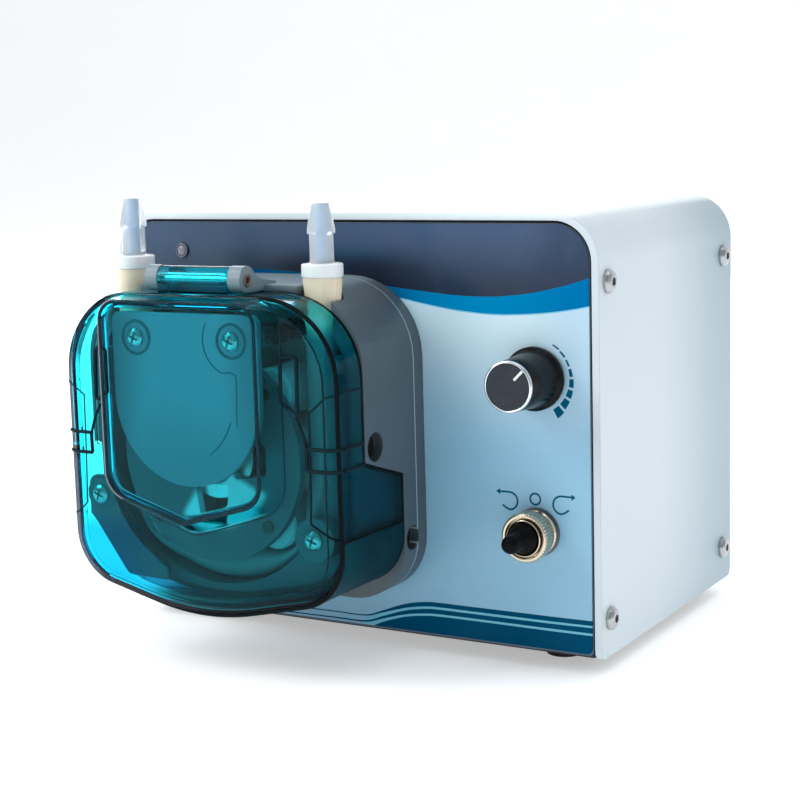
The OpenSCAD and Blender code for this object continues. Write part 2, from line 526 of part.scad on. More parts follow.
module rotor_screw() color([0.72, 0.73, 0.75]) at_rotor() difference() {
    spin_y([[0, 32], [1.5, 32], [1.5, 43.1], [7, 43.1], [7, 44.1], [3.9, 44.1], [3.9, 46.3], [3.2, 46.9], [0, 46.9]]);
    hex_y(2, -48, -44.6);
}
module roller(a) color([0.93, 0.93, 0.9]) at_rotor() rotate([0, a, 0]) translate([orbit_r, 0, 0]) difference() {
    spin_y([[0, 22.5], [roller_r - 0.8, 22.5], [roller_r, 23.3], [roller_r, 38.7], [roller_r - 0.8, 39.5], [0, 39.5]]);
    cyl_y(2.05, -41, -21);
}
module roller_1() roller(45);
module roller_2() roller(135);
module roller_3() roller(225);
module roller_4() roller(315);

housing_shell();
chassis_frame();
front_panel();
front_overlay();
rear_panel();
side_screws();
rear_screws();
rubber_feet();
foot_screws();
led_bezel();
led_lens();
potentiometer();
pot_nut();
toggle_body();
toggle_bushing();
toggle_washer();
toggle_nut();
power_inlet();
inlet_pins();
inlet_screws();
rocker_frame();
fuse_holder();
drive_motor();
power_supply();
control_board();
board_standoffs();
driver_heat_sink();
terminal_blocks();
board_capacitors();
head_base();
head_screws();
shaft_bearing();
occlusion_track();
track_screws();
guard_plate();
guard_standoffs();
guard_screws();
pump_tube();
barb_fitting_left();
barb_fitting_right();
hinge_pin();
head_cover();
drive_shaft();
rotor_front_disc();
rotor_rear_disc();
rotor_hub();
roller_pins();
rotor_screw();
roller_1();
roller_2();
roller_3();
roller_4();
knob_body();
knob_ring();
knob_pointer();
knob_shaft();
toggle_lever();
toggle_boot();
power_rocker();
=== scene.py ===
import json
import math

import bmesh
import bpy
import numpy as np
from mathutils import Matrix, Vector
from mathutils.geometry import delaunay_2d_cdt


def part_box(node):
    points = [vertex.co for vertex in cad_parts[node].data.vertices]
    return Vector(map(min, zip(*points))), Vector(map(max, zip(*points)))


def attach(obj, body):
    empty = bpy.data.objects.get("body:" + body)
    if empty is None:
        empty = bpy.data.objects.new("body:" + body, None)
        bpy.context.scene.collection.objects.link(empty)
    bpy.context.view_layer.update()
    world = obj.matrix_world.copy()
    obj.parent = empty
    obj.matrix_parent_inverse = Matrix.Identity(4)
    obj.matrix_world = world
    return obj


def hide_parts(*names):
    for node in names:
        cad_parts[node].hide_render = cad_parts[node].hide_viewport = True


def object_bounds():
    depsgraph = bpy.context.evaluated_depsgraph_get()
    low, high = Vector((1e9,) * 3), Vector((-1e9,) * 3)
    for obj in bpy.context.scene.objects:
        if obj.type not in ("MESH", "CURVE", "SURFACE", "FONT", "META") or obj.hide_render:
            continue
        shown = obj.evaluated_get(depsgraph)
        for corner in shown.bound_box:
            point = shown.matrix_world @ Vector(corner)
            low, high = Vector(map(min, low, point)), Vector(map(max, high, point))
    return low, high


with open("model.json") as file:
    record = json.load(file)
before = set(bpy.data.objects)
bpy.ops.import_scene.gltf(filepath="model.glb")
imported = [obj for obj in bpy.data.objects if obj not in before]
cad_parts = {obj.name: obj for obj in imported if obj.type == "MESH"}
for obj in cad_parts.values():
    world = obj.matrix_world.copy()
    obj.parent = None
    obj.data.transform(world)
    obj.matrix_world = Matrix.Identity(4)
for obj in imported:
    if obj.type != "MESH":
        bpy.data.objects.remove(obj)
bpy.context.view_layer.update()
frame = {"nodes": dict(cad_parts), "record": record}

NODES = frame["nodes"]
scene = bpy.context.scene

# ------------------------------------------------------------------ anchors taken from the frame
slo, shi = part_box("housing_shell")
X0, Y0, Z0 = (slo.x + shi.x) / 2, slo.y, slo.z
W, HGT, DEP = (shi.x - slo.x) * 1000, (shi.z - slo.z) * 1000, (shi.y - slo.y) * 1000
dlo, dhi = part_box("drive_shaft")
HX, RZ = ((dlo.x + dhi.x) / 2 - X0) * 1000, ((dlo.z + dhi.z) / 2 - Z0) * 1000
klo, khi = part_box("knob_shaft")
KX, KZ = ((klo.x + khi.x) / 2 - X0) * 1000, ((klo.z + khi.z) / 2 - Z0) * 1000
tlo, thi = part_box("toggle_bushing")
TX, TZ = ((tlo.x + thi.x) / 2 - X0) * 1000, ((tlo.z + thi.z) / 2 - Z0) * 1000
llo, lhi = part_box("led_lens")
LX, LZ = ((llo.x + lhi.x) / 2 - X0) * 1000, ((llo.z + lhi.z) / 2 - Z0) * 1000
plo, phi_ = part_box("pump_tube")
END_Z = (phi_.z - Z0) * 1000
b1lo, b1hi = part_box("barb_fitting_left")
b2lo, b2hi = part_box("barb_fitting_right")
TY = ((b1lo.y + b1hi.y) / 2 - Y0) * 1000
PITCH = ((b2lo.x + b2hi.x) - (b1lo.x + b1hi.x)) * 250
hlo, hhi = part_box("hinge_pin")
HY, HZ = ((hlo.y + hhi.y) / 2 - Y0) * 1000, ((hlo.z + hhi.z) / 2 - Z0) * 1000


def P(x, y, z):
    """Millimetres from the wrap's middle, front edge and bottom edge, to the row frame."""
    return Vector((X0 + x / 1000, Y0 + y / 1000, Z0 + z / 1000))


def HP(u, y, z):
    """The same from the pump head's middle."""
    return P(HX + u, y, z)


# ------------------------------------------------------------------ outlines
def unit(v):
    return np.array(v, float) / np.linalg.norm(v)


def corner(p, q, s, r, n):
    p, q, s = (np.array(a[:2], float) for a in (p, q, s))
    a, b = unit(p - q), unit(s - q)
    th = math.acos(max(-1, min(1, float(a @ b))))
    t = r / math.tan(th / 2)
    c = q + unit(a + b) * (r / math.sin(th / 2))
    v0, v1 = q + a * t - c, q + b * t - c
    a0, a1 = math.atan2(v0[1], v0[0]), math.atan2(v1[1], v1[0])
    d = (a1 - a0 + 3 * math.pi) % (2 * math.pi) - math.pi
    return [tuple(c + r * np.array([math.cos(a0 + d * i / n), math.sin(a0 + d * i / n)])) for i in range(n + 1)]


def rpoly(v, n=12):
    k, out = len(v), []
    for i in range(k):
        out += corner(v[i - 1], v[i], v[(i + 1) % k], v[i][2], n) if v[i][2] > 0 else [tuple(v[i][:2])]
    return out


def inset(v, t, least=0.3):
    k, out = len(v), []
    for i in range(k):
        q = np.array(v[i][:2], float)
        a, b = unit(np.array(v[i - 1][:2]) - q), unit(np.array(v[(i + 1) % k][:2]) - q)
        th = math.acos(float(a @ b))
        m = q + unit(a + b) * (t / math.sin(th / 2))
        out.append((m[0], m[1], max(v[i][2] - t, least)))
    return out


COVER = [(-52, 24.5, 18), (0, 12.5, 90), (52, 24.5, 18), (52, 117.5, 26), (-52, 117.5, 26)]
BOSS_BASE = [(-34.6, 52, 12), (0, 41, 5), (34.6, 52, 12), (34.6, 117, 9), (-34.6, 117, 9)]
BOSS_TOP = [(-30, 54.4, 9), (0, 45.6, 4), (30, 54.4, 9), (30, 116.1, 7), (-30, 116.1, 7)]


# ------------------------------------------------------------------ mesh helpers
def add_mesh(name, verts, faces, mat, body, replaces=(), smooth=35, recalc=True, mats=None, face_mats=None):
    me = bpy.data.meshes.new(name)
    me.from_pydata([tuple(v) for v in verts], [], faces)
    me.update()
    o = bpy.data.objects.new(name, me)
    scene.collection.objects.link(o)
    for m in (mats or [mat]):
        me.materials.append(m)
    if face_mats is not None:
        me.polygons.foreach_set("material_index", face_mats)
    if recalc:
        bm = bmesh.new()
        bm.from_mesh(me)
        bmesh.ops.remove_doubles(bm, verts=bm.verts, dist=1e-7)
        bmesh.ops.recalc_face_normals(bm, faces=bm.faces)
        bm.to_mesh(me)
        bm.free()
    finish_mesh(o, smooth)
    if body:
        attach(o, body)
        if replaces:
            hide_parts(*replaces)
    return o


def finish_mesh(o, smooth):
    me = o.data
    me.polygons.foreach_set("use_smooth", [True] * len(me.polygons))
    me.set_sharp_from_angle(angle=math.radians(smooth))
    me.update()


def loft(rings, cap0=True, cap1=True, closed=False):
    """Verts and faces through rings of equal length."""
    n, verts, faces = len(rings[0]), [], []
    for r in rings:
        verts += list(r)
    m = len(rings)
    for k in range(m if closed else m - 1):
        a, b = k * n, ((k + 1) % m) * n
        for i in range(n):
            j = (i + 1) % n
            faces.append((a + i, a + j, b + j, b + i))
    if not closed:
        if cap0:
            faces.append(tuple(range(n - 1, -1, -1)))
        if cap1:
            faces.append(tuple((m - 1) * n + i for i in range(n)))
    return verts, faces


def spin(profile, origin, axis, n=96, closed=True, wobble=None):
    """A solid of revolution: profile points are (radius, distance along axis) in mm. Where closed, the profile is a loop."""
    axis = Vector(axis).normalized()
    side = Vector((1, 0, 0)) if abs(axis.x) < 0.9 else Vector((0, 0, 1))
    e1 = axis.cross(side).normalized()
    e2 = axis.cross(e1).normalized()
    rings = []
    for i in range(n):
        a = 2 * math.pi * i / n
        ring = []
        for k, (r, d) in enumerate(profile):
            rr = r + (wobble(a, k, r, d) if wobble else 0)
            ring.append(origin + (e1 * math.cos(a) + e2 * math.sin(a)) * (max(rr, 0) / 1000) + axis * (d / 1000))
        rings.append(ring)
    verts = [v for r in rings for v in r]
    m, faces = len(profile), []
    for i in range(n):
        a, b = i * m, ((i + 1) % n) * m
        for k in range(m if closed else m - 1):
            j = (k + 1) % m
            faces.append((a + k, a + j, b + j, b + k))
    return verts, faces


def sweep_tube(points, radius, n=12, closed=False, flat=1.0, up=None):
    """A round bead along points. radius in mm, or a list."""
    pts = [Vector(p) for p in points]
    m = len(pts)
    rads = radius if isinstance(radius, (list, tuple)) else [radius] * m
    tang = []
    for i in range(m):
        a = pts[i - 1] if (i > 0 or closed) else pts[i]
        b = pts[(i + 1) % m] if (i < m - 1 or closed) else pts[i]
        t = (b - a)
        tang.append(t.normalized() if t.length > 0 else Vector((0, 0, 1)))
    ref = Vector(up) if up else Vector((0, 1, 0))
    rings = []
    for i in range(m):
        t = tang[i]
        s = t.cross(ref)
        if s.length < 1e-4:
            s = t.cross(Vector((1, 0, 0.3)))
        s.normalize()
        w = s.cross(t).normalized()
        r = rads[i] / 1000
        rings.append([pts[i] + (s * math.cos(2 * math.pi * k / n) + w * math.sin(2 * math.pi * k / n) * flat) * r for k in range(n)])
    return loft(rings, closed=closed)


def joined(parts):
    verts, faces = [], []
    for v, f in parts:
        base = len(verts)
        verts += list(v)
        faces += [tuple(i + base for i in g) for g in f]
    return verts, faces


def raw_object(name, verts, faces):
    me = bpy.data.meshes.new(name)
    me.from_pydata([tuple(v) for v in verts], [], faces)
    bm = bmesh.new()
    bm.from_mesh(me)
    bmesh.ops.remove_doubles(bm, verts=bm.verts, dist=1e-7)
    bmesh.ops.recalc_face_normals(bm, faces=bm.faces)
    bm.to_mesh(me)
    bm.free()
    o = bpy.data.objects.new(name, me)
    scene.collection.objects.link(o)
    return o


def boolean(base, tool, op):
    m = base.modifiers.new("b", "BOOLEAN")
    m.object, m.operation, m.solver = tool, op, "EXACT"
    bpy.context.view_layer.update()
    dg = bpy.context.evaluated_depsgraph_get()
    me = bpy.data.meshes.new_from_object(base.evaluated_get(dg))
    base.modifiers.clear()
    old = base.data
    base.data = me
    bpy.data.meshes.remove(old)
    bpy.data.objects.remove(tool)
    return base


def apply_modifiers(o):
    bpy.context.view_layer.update()
    dg = bpy.context.evaluated_depsgraph_get()
    me = bpy.data.meshes.new_from_object(o.evaluated_get(dg))
    o.modifiers.clear()
    o.data = me


# ------------------------------------------------------------------ materials
def lin(r, g, b, a=1.0):
    f = lambda c: (c / 255) / 12.92 if c / 255 <= 0.04045 else (((c / 255) + 0.055) / 1.055) ** 2.4
    return (f(r), f(g), f(b), a)


def scaled(c, k):
    return (min(c[0] * k, 1), min(c[1] * k, 1), min(c[2] * k, 1), 1)


class Mat:
    def __init__(self, name):
        self.m = bpy.data.materials.new(name)
        self.m.use_nodes = True
        self.t = self.m.node_tree
        self.b = self.t.nodes["Principled BSDF"]
        self.o = self.t.nodes["Material Output"]
        tc = self.t.nodes.new("ShaderNodeTexCoord")
        mp = self.t.nodes.new("ShaderNodeMapping")
        mp.inputs["Location"].default_value = (-X0 * 1000, -Y0 * 1000, -Z0 * 1000)
        mp.inputs["Scale"].default_value = (1000, 1000, 1000)
        self.link(tc.outputs["Object"], mp.inputs["Vector"])
        self.mm = mp.outputs["Vector"]      # millimetres from the wrap's middle, front edge and bottom edge

    def link(self, a, b):
        self.t.links.new(a, b)

    def node(self, kind, **props):
        n = self.t.nodes.new(kind)
        for k, v in props.items():
            setattr(n, k, v)
        return n

    def stretch(self, x, y, z, loc=(0, 0, 0)):
        n = self.node("ShaderNodeMapping")
        n.inputs["Scale"].default_value = (x, y, z)
        n.inputs["Location"].default_value = loc
        self.link(self.mm, n.inputs["Vector"])
        return n.outputs["Vector"]

    def noise(self, size, detail=3.0, rough=0.5, vec=None, distort=0.0):
        n = self.node("ShaderNodeTexNoise")
        n.inputs["Scale"].default_value = 1.0 / size
        n.inputs["Detail"].default_value = detail
        n.inputs["Roughness"].default_value = rough
        n.inputs["Distortion"].default_value = distort
        self.link(vec or self.mm, n.inputs["Vector"])
        return n.outputs["Fac"]

    def voronoi(self, size, vec=None, feature="F1"):
        n = self.node("ShaderNodeTexVoronoi", feature=feature)
        n.inputs["Scale"].default_value = 1.0 / size
        self.link(vec or self.mm, n.inputs["Vector"])
        return n.outputs["Distance"]

    def ramp(self, val, a, b, c=0.0, d=1.0, smooth=False):
        n = self.node("ShaderNodeMapRange", clamp=True)
        n.interpolation_type = "SMOOTHSTEP" if smooth else "LINEAR"
        self.link(val, n.inputs["Value"])
        for k, v in zip(("From Min", "From Max", "To Min", "To Max"), (a, b, c, d)):
            n.inputs[k].default_value = v
        return n.outputs["Result"]

    def math(self, op, a, b=0.0):
        n = self.node("ShaderNodeMath", operation=op)
        for i, v in enumerate((a, b)):
            if hasattr(v, "is_linked"):
                self.link(v, n.inputs[i])
            else:
                n.inputs[i].default_value = v
        return n.outputs[0]

    def mix(self, fac, a, b):
        n = self.node("ShaderNodeMix", data_type="RGBA")
        ins = [s for s in n.inputs if s.enabled]
        for s, v in zip(ins, (fac, a, b)):
            if hasattr(v, "is_linked"):
                self.link(v, s)
            else:
                s.default_value = v
        return [s for s in n.outputs if s.enabled][0]

    def axis(self, k):
        n = self.node("ShaderNodeSeparateXYZ")
        self.link(self.mm, n.inputs[0])
        return n.outputs[k]

    def bump(self, height, depth_mm, strength=1.0, normal=None):
        n = self.node("ShaderNodeBump")
        n.inputs["Strength"].default_value = strength
        n.inputs["Distance"].default_value = depth_mm / 1000
        self.link(height, n.inputs["Height"])
        if normal:
            self.link(normal, n.inputs["Normal"])
        return n.outputs["Normal"]

    def rounded(self, radius_mm):
        n = self.node("ShaderNodeBevel", samples=4)
        n.inputs["Radius"].default_value = radius_mm / 1000
        return n.outputs["Normal"]

    def edge(self, radius_mm, lo=0.02, hi=0.25):
        """0 on flat areas, 1 near an edge."""
        g = self.node("ShaderNodeNewGeometry")
        d = self.node("ShaderNodeVectorMath", operation="DOT_PRODUCT")
        self.link(self.rounded(radius_mm), d.inputs[0])
        self.link(g.outputs["Normal"], d.inputs[1])
        return self.ramp(self.math("SUBTRACT", 1.0, d.outputs["Value"]), lo, hi)

    def set(self, **kw):
        names = dict(color="Base Color", rough="Roughness", metal="Metallic", ior="IOR", spec="Specular IOR Level", trans="Transmission Weight",
                     coat="Coat Weight", coat_rough="Coat Roughness", sheen="Sheen Weight", sss="Subsurface Weight", sss_scale="Subsurface Scale",
                     sss_radius="Subsurface Radius", aniso="Anisotropic", normal="Normal", alpha="Alpha", emit="Emission Strength", emit_color="Emission Color",
                     sheen_rough="Sheen Roughness", coat_ior="Coat IOR")
        for k, v in kw.items():
            s = self.b.inputs[names[k]]
            if hasattr(v, "is_linked"):
                self.link(v, s)
            else:
                s.default_value = v
        return self


def surface(name, base, rough=0.45, metal=0.0, var=0.07, mottle=22.0, grain=0.5, depth=0.01, rvar=0.07, wear=None, wear_mm=0.35,
            stretch=None, coat=0.0, coat_rough=0.1, spec=0.5, sss=0.0, scratches=0.0, dirt=0.0, round_mm=0.0, tint=None):
    """The common recipe: mottled colour, uneven gloss, a fine surface texture and worn edges."""
    m = Mat(name)
    vec = m.stretch(*stretch) if stretch else None
    big = m.noise(mottle, 4, 0.55)
    fine = m.noise(grain, 3, 0.6, vec)
    mid = m.noise(mottle * 0.22, 5, 0.6)
    shade = m.ramp(m.math("ADD", m.math("MULTIPLY", big, 0.65), m.math("MULTIPLY", mid, 0.35)), 0.3, 0.7)
    col = m.mix(shade, scaled(base, 1 - var), scaled(tint or base, 1 + var))
    col = m.mix(m.ramp(fine, 0.35, 0.65, 0.0, 0.35), col, scaled(base, 1 - var * 1.2))
    rgh = m.ramp(m.noise(mottle * 0.5, 5, 0.65), 0.25, 0.75, max(rough - rvar, 0.02), min(rough + rvar, 1))
    if dirt:
        low = m.ramp(m.noise(mottle * 0.35, 6, 0.7, None, 0.6), 0.52, 0.75, 0, dirt)
        col = m.mix(low, col, lin(96, 92, 86))
    if wear:
        e = m.edge(wear_mm)
        e = m.math("MULTIPLY", e, m.ramp(m.noise(1.6, 4, 0.7), 0.42, 0.62))
        col = m.mix(m.math("MULTIPLY", e, 0.55), col, wear)
        rgh = m.math("SUBTRACT", rgh, m.math("MULTIPLY", e, 0.1))
    h = fine
    if scratches:
        s1 = m.noise(2.2, 2, 0.5, m.stretch(0.06, 1.0, 1.6, (3, 7, 1)))
        s2 = m.noise(2.2, 2, 0.5, m.stretch(1.4, 1.0, 0.05, (9, 2, 5)))
        sc = m.math("MAXIMUM", m.ramp(s1, 0.66, 0.7), m.ramp(s2, 0.68, 0.72))
        h = m.math("SUBTRACT", fine, m.math("MULTIPLY", sc, scratches))
        rgh = m.math("ADD", rgh, m.math("MULTIPLY", sc, 0.12))
    nrm = m.bump(h, depth, 1.0, m.rounded(round_mm) if round_mm else None)
    m.set(color=col, rough=rgh, metal=metal, spec=spec, normal=nrm, coat=coat, coat_rough=coat_rough)
    if sss:
        m.set(sss=sss, sss_scale=0.003, sss_radius=(1.0, 0.6, 0.4))
    return m.m


def brushed(name, base, rough=0.3, stretch=(0.05, 1, 1), depth=0.006, var=0.08, round_mm=0.2, grain=0.25):
    m = Mat(name)
    lines = m.noise(grain, 3, 0.6, m.stretch(*stretch))
    cloud = m.noise(9, 4, 0.6)
    col = m.mix(m.ramp(lines, 0.3, 0.7), scaled(base, 1 - var), scaled(base, 1 + var))
    col = m.mix(m.ramp(cloud, 0.4, 0.8, 0, 0.3), col, scaled(base, 0.75))
    rgh = m.ramp(m.math("ADD", m.math("MULTIPLY", lines, 0.5), m.math("MULTIPLY", cloud, 0.5)), 0.3, 0.7, rough - 0.07, rough + 0.1)
    m.set(color=col, rough=rgh, metal=1.0, normal=m.bump(lines, depth, 0.8, m.rounded(round_mm) if round_mm else None))
    return m.m


M = {}
M["black_paint"] = surface("black_paint", lin(22, 24, 28), rough=0.42, var=0.15, mottle=30, grain=0.35, depth=0.012, wear=lin(120, 120, 122), wear_mm=0.3, round_mm=0.25)
M["panel_sheet"] = brushed("panel_sheet", lin(92, 104, 116), rough=0.34, stretch=(0.04, 1, 1))
M["stainless_screw"] = brushed("stainless_screw", lin(178, 180, 182), rough=0.24, stretch=(1, 1, 0.12), depth=0.004, round_mm=0.18, grain=0.35)
M["foot_rubber"] = surface("foot_rubber", lin(24, 24, 26), rough=0.82, var=0.2, mottle=6, grain=0.25, depth=0.03, dirt=0.25, spec=0.3, round_mm=0.3)
M["bezel_metal"] = brushed("bezel_metal", lin(112, 114, 128), rough=0.28, stretch=(1, 0.1, 1), depth=0.003, round_mm=0.15)
M["plated_steel"] = brushed("plated_steel", lin(190, 192, 196), rough=0.26, stretch=(1, 0.08, 1), round_mm=0.2)
M["black_plastic"] = surface("black_plastic", lin(26, 27, 30), rough=0.5, var=0.12, mottle=14, grain=0.22, depth=0.02, round_mm=0.25, wear=lin(70, 70, 74), wear_mm=0.2)
M["contact_brass"] = brushed("contact_brass", lin(206, 172, 104), rough=0.27, stretch=(0.08, 1, 1), round_mm=0.2)
M["motor_black"] = surface("motor_black", lin(34, 35, 38), rough=0.4, var=0.12, mottle=16, grain=0.4, depth=0.02, wear=lin(120, 120, 122), round_mm=0.3)
M["terminal_green"] = surface("terminal_green", lin(48, 132, 74), rough=0.4, var=0.08, mottle=8, grain=0.2, depth=0.015, round_mm=0.2)
M["capacitor_sleeve"] = surface("capacitor_sleeve", lin(28, 30, 52), rough=0.28, var=0.12, mottle=8, grain=0.3, depth=0.01, coat=0.5, round_mm=0.2)
M["heat_sink_aluminium"] = brushed("heat_sink_aluminium", lin(176, 178, 182), rough=0.36, stretch=(1, 1, 0.05), round_mm=0.15)
M["pin_bronze"] = brushed("pin_bronze", lin(150, 126, 114), rough=0.36, stretch=(1, 0.2, 1), depth=0.003, round_mm=0.1)
M["roller_plastic"] = surface("roller_plastic", lin(176, 190, 198), rough=0.36, var=0.04, mottle=9, grain=0.4, depth=0.006, sss=0.2, spec=0.5, round_mm=0.3, scratches=0.3)
M["rotor_aluminium"] = brushed("rotor_aluminium", lin(192, 196, 200), rough=0.3, stretch=(1, 0.1, 1), round_mm=0.25)
M["dark_grey_plastic"] = surface("dark_grey_plastic", lin(76, 98, 108), rough=0.5, var=0.1, mottle=14, grain=0.6, depth=0.003, spec=0.3, round_mm=0.35)


def paint():
    """White powder coat, with painted shade growing towards the back and a painted highlight on the rolled top edge."""
    m = Mat("white_paint")
    y, z = m.axis(1), m.axis(2)
    big = m.ramp(m.noise(70, 3, 0.5), 0.3, 0.7)
    col = m.mix(big, lin(209, 221, 228), lin(213, 225, 232))
    # painted shade: the coat darkens towards the back
    col = m.mix(m.ramp(y, 40, 125, 0, 1, True), col, lin(160, 182, 193))
    # painted highlight: the rolled top edge is lit nearly white
    col = m.mix(m.ramp(z, 137.5, 139.5, 0, 0.9, True), col, lin(238, 248, 253))
    fine = m.noise(0.9, 2, 0.5)
    rgh = m.ramp(m.noise(40, 3, 0.5), 0.25, 0.75, 0.28, 0.36)
    m.set(color=col, rough=rgh, spec=0.35, normal=m.bump(fine, 0.002, 1.0, m.rounded(0.45)))
    return m.m


M["white_paint"] = paint()


def base_grey():
    m = Mat("grey_plastic")
    z = m.axis(2)
    big = m.ramp(m.noise(30, 3, 0.5), 0.3, 0.7)
    col = m.mix(big, lin(72, 86, 95), lin(80, 95, 104))
    # painted light: the base lightens towards its top, with a painted highlight along the top edge
    col = m.mix(m.ramp(z, 96, 119, 0, 0.5, True), col, lin(98, 112, 120))
    col = m.mix(m.ramp(z, 117.2, 119.4, 0, 1, True), col, lin(130, 148, 158))
    x, y = m.axis(0), m.axis(1)
    # painted light: a pale band on the recessed wall at y = -5.4 mm stands in for light that does not reach so deep
    painted_light_back_wall = m.ramp(m.math("ABSOLUTE", m.math("ADD", y, 5.4)), 0.1, 0.25, 1, 0)
    col = m.mix(painted_light_back_wall, col, lin(186, 212, 220))
    # painted shade: near-black discs on the right side face stand in for the dark inside two holes
    for cy, cz, r in ((-30.5, 69.5, 4.7), (-8.6, 36.0, 4.1)):
        dy, dz = m.math("SUBTRACT", y, cy), m.math("SUBTRACT", z, cz)
        dist = m.math("SQRT", m.math("ADD", m.math("MULTIPLY", dy, dy), m.math("MULTIPLY", dz, dz)))
        hole = m.math("MULTIPLY", m.ramp(dist, r - 0.25, r, 1, 0), m.ramp(x, HX + 50.0, HX + 50.1, 0, 1))
        col = m.mix(hole, col, lin(12, 14, 16))
    fine = m.noise(0.32, 3, 0.6)
    col = m.mix(m.ramp(fine, 0.35, 0.65, 0.0, 0.12), col, lin(62, 74, 82))
    rgh = m.ramp(m.noise(14, 4, 0.6), 0.25, 0.75, 0.34, 0.46)
    m.set(color=col, rough=rgh, spec=0.4, normal=m.bump(fine, 0.008, 1.0, m.rounded(0.6)))
    return m.m


M["grey_plastic"] = base_grey()


def guard_mat():
    """Grey guard plate, with painted shade deepening towards its sides and bottom."""
    m = Mat("guard_grey")
    x, z = m.axis(0), m.axis(2)
    u = m.math("ABSOLUTE", m.math("SUBTRACT", x, HX))
    # painted shade: rim darkens the plate towards its sides and bottom
    rim = m.math("MAXIMUM", m.ramp(u, 12, 27, 0, 0.85, True), m.ramp(z, 92, 62, 0, 0.55, True))
    cloud = m.ramp(m.noise(16, 4, 0.55), 0.3, 0.7)
    col = m.mix(cloud, lin(124, 143, 162), lin(130, 149, 166))
    col = m.mix(rim, col, lin(92, 108, 122))
    fine = m.noise(0.6, 3, 0.6)
    m.set(color=col, rough=m.ramp(m.noise(9, 4, 0.6), 0.25, 0.75, 0.38, 0.48), normal=m.bump(fine, 0.002, 1.0, m.rounded(0.3)))
    return m.m


M["guard_grey"] = guard_mat()


def board_green():
    m = Mat("board_green")
    tracks = m.ramp(m.voronoi(3.2, m.stretch(1, 1, 1), "DISTANCE_TO_EDGE"), 0.03, 0.06)
    pads = m.ramp(m.voronoi(2.5), 0.16, 0.2)
    col = m.mix(tracks, lin(16, 92, 52), lin(24, 66, 40))
    col = m.mix(pads, lin(176, 168, 120), col)
    m.set(color=col, rough=m.ramp(m.noise(4), 0.3, 0.7, 0.25, 0.4), normal=m.bump(tracks, 0.03), coat=0.3)
    return m.m


M["board_green"] = board_green()


def lens():
    m = Mat("lens_plastic")
    f = m.noise(0.3, 3)
    m.set(color=m.mix(m.ramp(f, 0.3, 0.7), lin(114, 116, 134), lin(138, 140, 158)), rough=m.ramp(m.noise(0.8), 0.3, 0.7, 0.22, 0.36), normal=m.bump(f, 0.01), sss=0.2, sss_scale=0.002, coat=0.3)
    return m.m


M["lens_plastic"] = lens()


# The printed film: every colour of it is a region of one flat sheet, and each ink has its own shading, which on the
# light blue holds painted shade and on the navy painted reflection.
def film(name, shade, rough=0.2, spec=0.2, haze=0.04):
    """shade(m) -> base colour output."""
    m = Mat(name)
    peel = m.noise(9, 2, 0.5)
    fine = m.noise(0.4, 2, 0.5)
    smudge = m.ramp(m.noise(26, 5, 0.6, None, 0.8), 0.42, 0.78, 0, 1, True)
    col = m.mix(m.math("MULTIPLY", smudge, haze), shade(m), lin(190, 208, 222))
    rgh = m.math("ADD", m.ramp(fine, 0.3, 0.7, rough - 0.02, rough + 0.02), m.math("MULTIPLY", smudge, 0.06))
    m.set(color=col, rough=rgh, normal=m.bump(peel, 0.02, 0.6), spec=spec)
    return m.m


def blue_shade(m):
    x, z = m.axis(0), m.axis(2)
    # light below the swoosh, deeper towards the bottom, with painted shade behind the pump head
    down = m.ramp(z, 108, 62, 0, 1, True)
    painted_head_shade = m.ramp(x, 22, 62, 1, 0, True)
    c = m.mix(down, lin(216, 243, 255), lin(152, 202, 230))
    c = m.mix(m.math("MULTIPLY", m.math("MULTIPLY", painted_head_shade, 0.62), m.ramp(z, 78, 104, 1.0, 0.5, True)), c, lin(124, 176, 202))
    right = m.math("MULTIPLY", m.ramp(x, 62, 84, 0, 0.55, True), m.ramp(z, 64, 84, 0, 1, True))
    c = m.mix(right, c, lin(160, 200, 226))
    low = m.ramp(z, 62, 14, 0, 1, True)
    c = m.mix(m.math("MULTIPLY", low, 0.4), c, lin(132, 178, 204))
    return c


def navy_painted_reflection(m):
    z, x = m.axis(2), m.axis(0)
    # painted reflection: the navy's gradients and its dark patch stand in for what the glossy film reflects
    c = m.mix(m.ramp(z, 136, 114, 0, 1, True), lin(68, 90, 122), lin(40, 54, 76))
    dark = m.math("MULTIPLY", m.ramp(x, 46, 10, 0, 1, True), m.ramp(z, 130, 121, 0, 0.85, True))
    c = m.mix(dark, c, lin(14, 24, 40))
    c = m.mix(m.ramp(x, 62, 82, 0, 0.5, True), c, lin(36, 52, 78))
    return m.mix(m.ramp(x, -10, -50, 0, 0.65, True), c, lin(72, 92, 116))


def swoosh_shade(m):
    x = m.axis(0)
    c = m.mix(m.ramp(x, 8, 46, 0, 1, True), lin(0, 88, 134), lin(0, 136, 194))
    return m.mix(m.ramp(x, 56, 90, 0, 1, True), c, lin(0, 114, 174))


M["film_blue"] = film("film_blue", blue_shade, 0.24, 0.25)
M["film_navy"] = film("film_navy", navy_painted_reflection, 0.16, 0.2, 0.025)
M["film_swoosh"] = film("film_swoosh", swoosh_shade, 0.28, 0.0, 0.008)
M["film_dark"] = film("film_dark", lambda m: m.mix(m.noise(30), lin(0, 66, 98), lin(0, 80, 114)), 0.28, 0.0, 0.008)
M["film_line"] = film("film_line", lambda m: m.mix(m.noise(20), lin(100, 182, 208), lin(124, 198, 220)), 0.26, 0.15)
M["film_glow"] = film("film_glow", lambda m: m.mix(m.noise(20), lin(96, 190, 228), lin(150, 215, 240)), 0.26, 0.15)
M["film_print"] = film("film_print", lambda m: m.mix(m.noise(4), lin(0, 82, 112), lin(0, 98, 132)), 0.3, 0.0, 0.01)


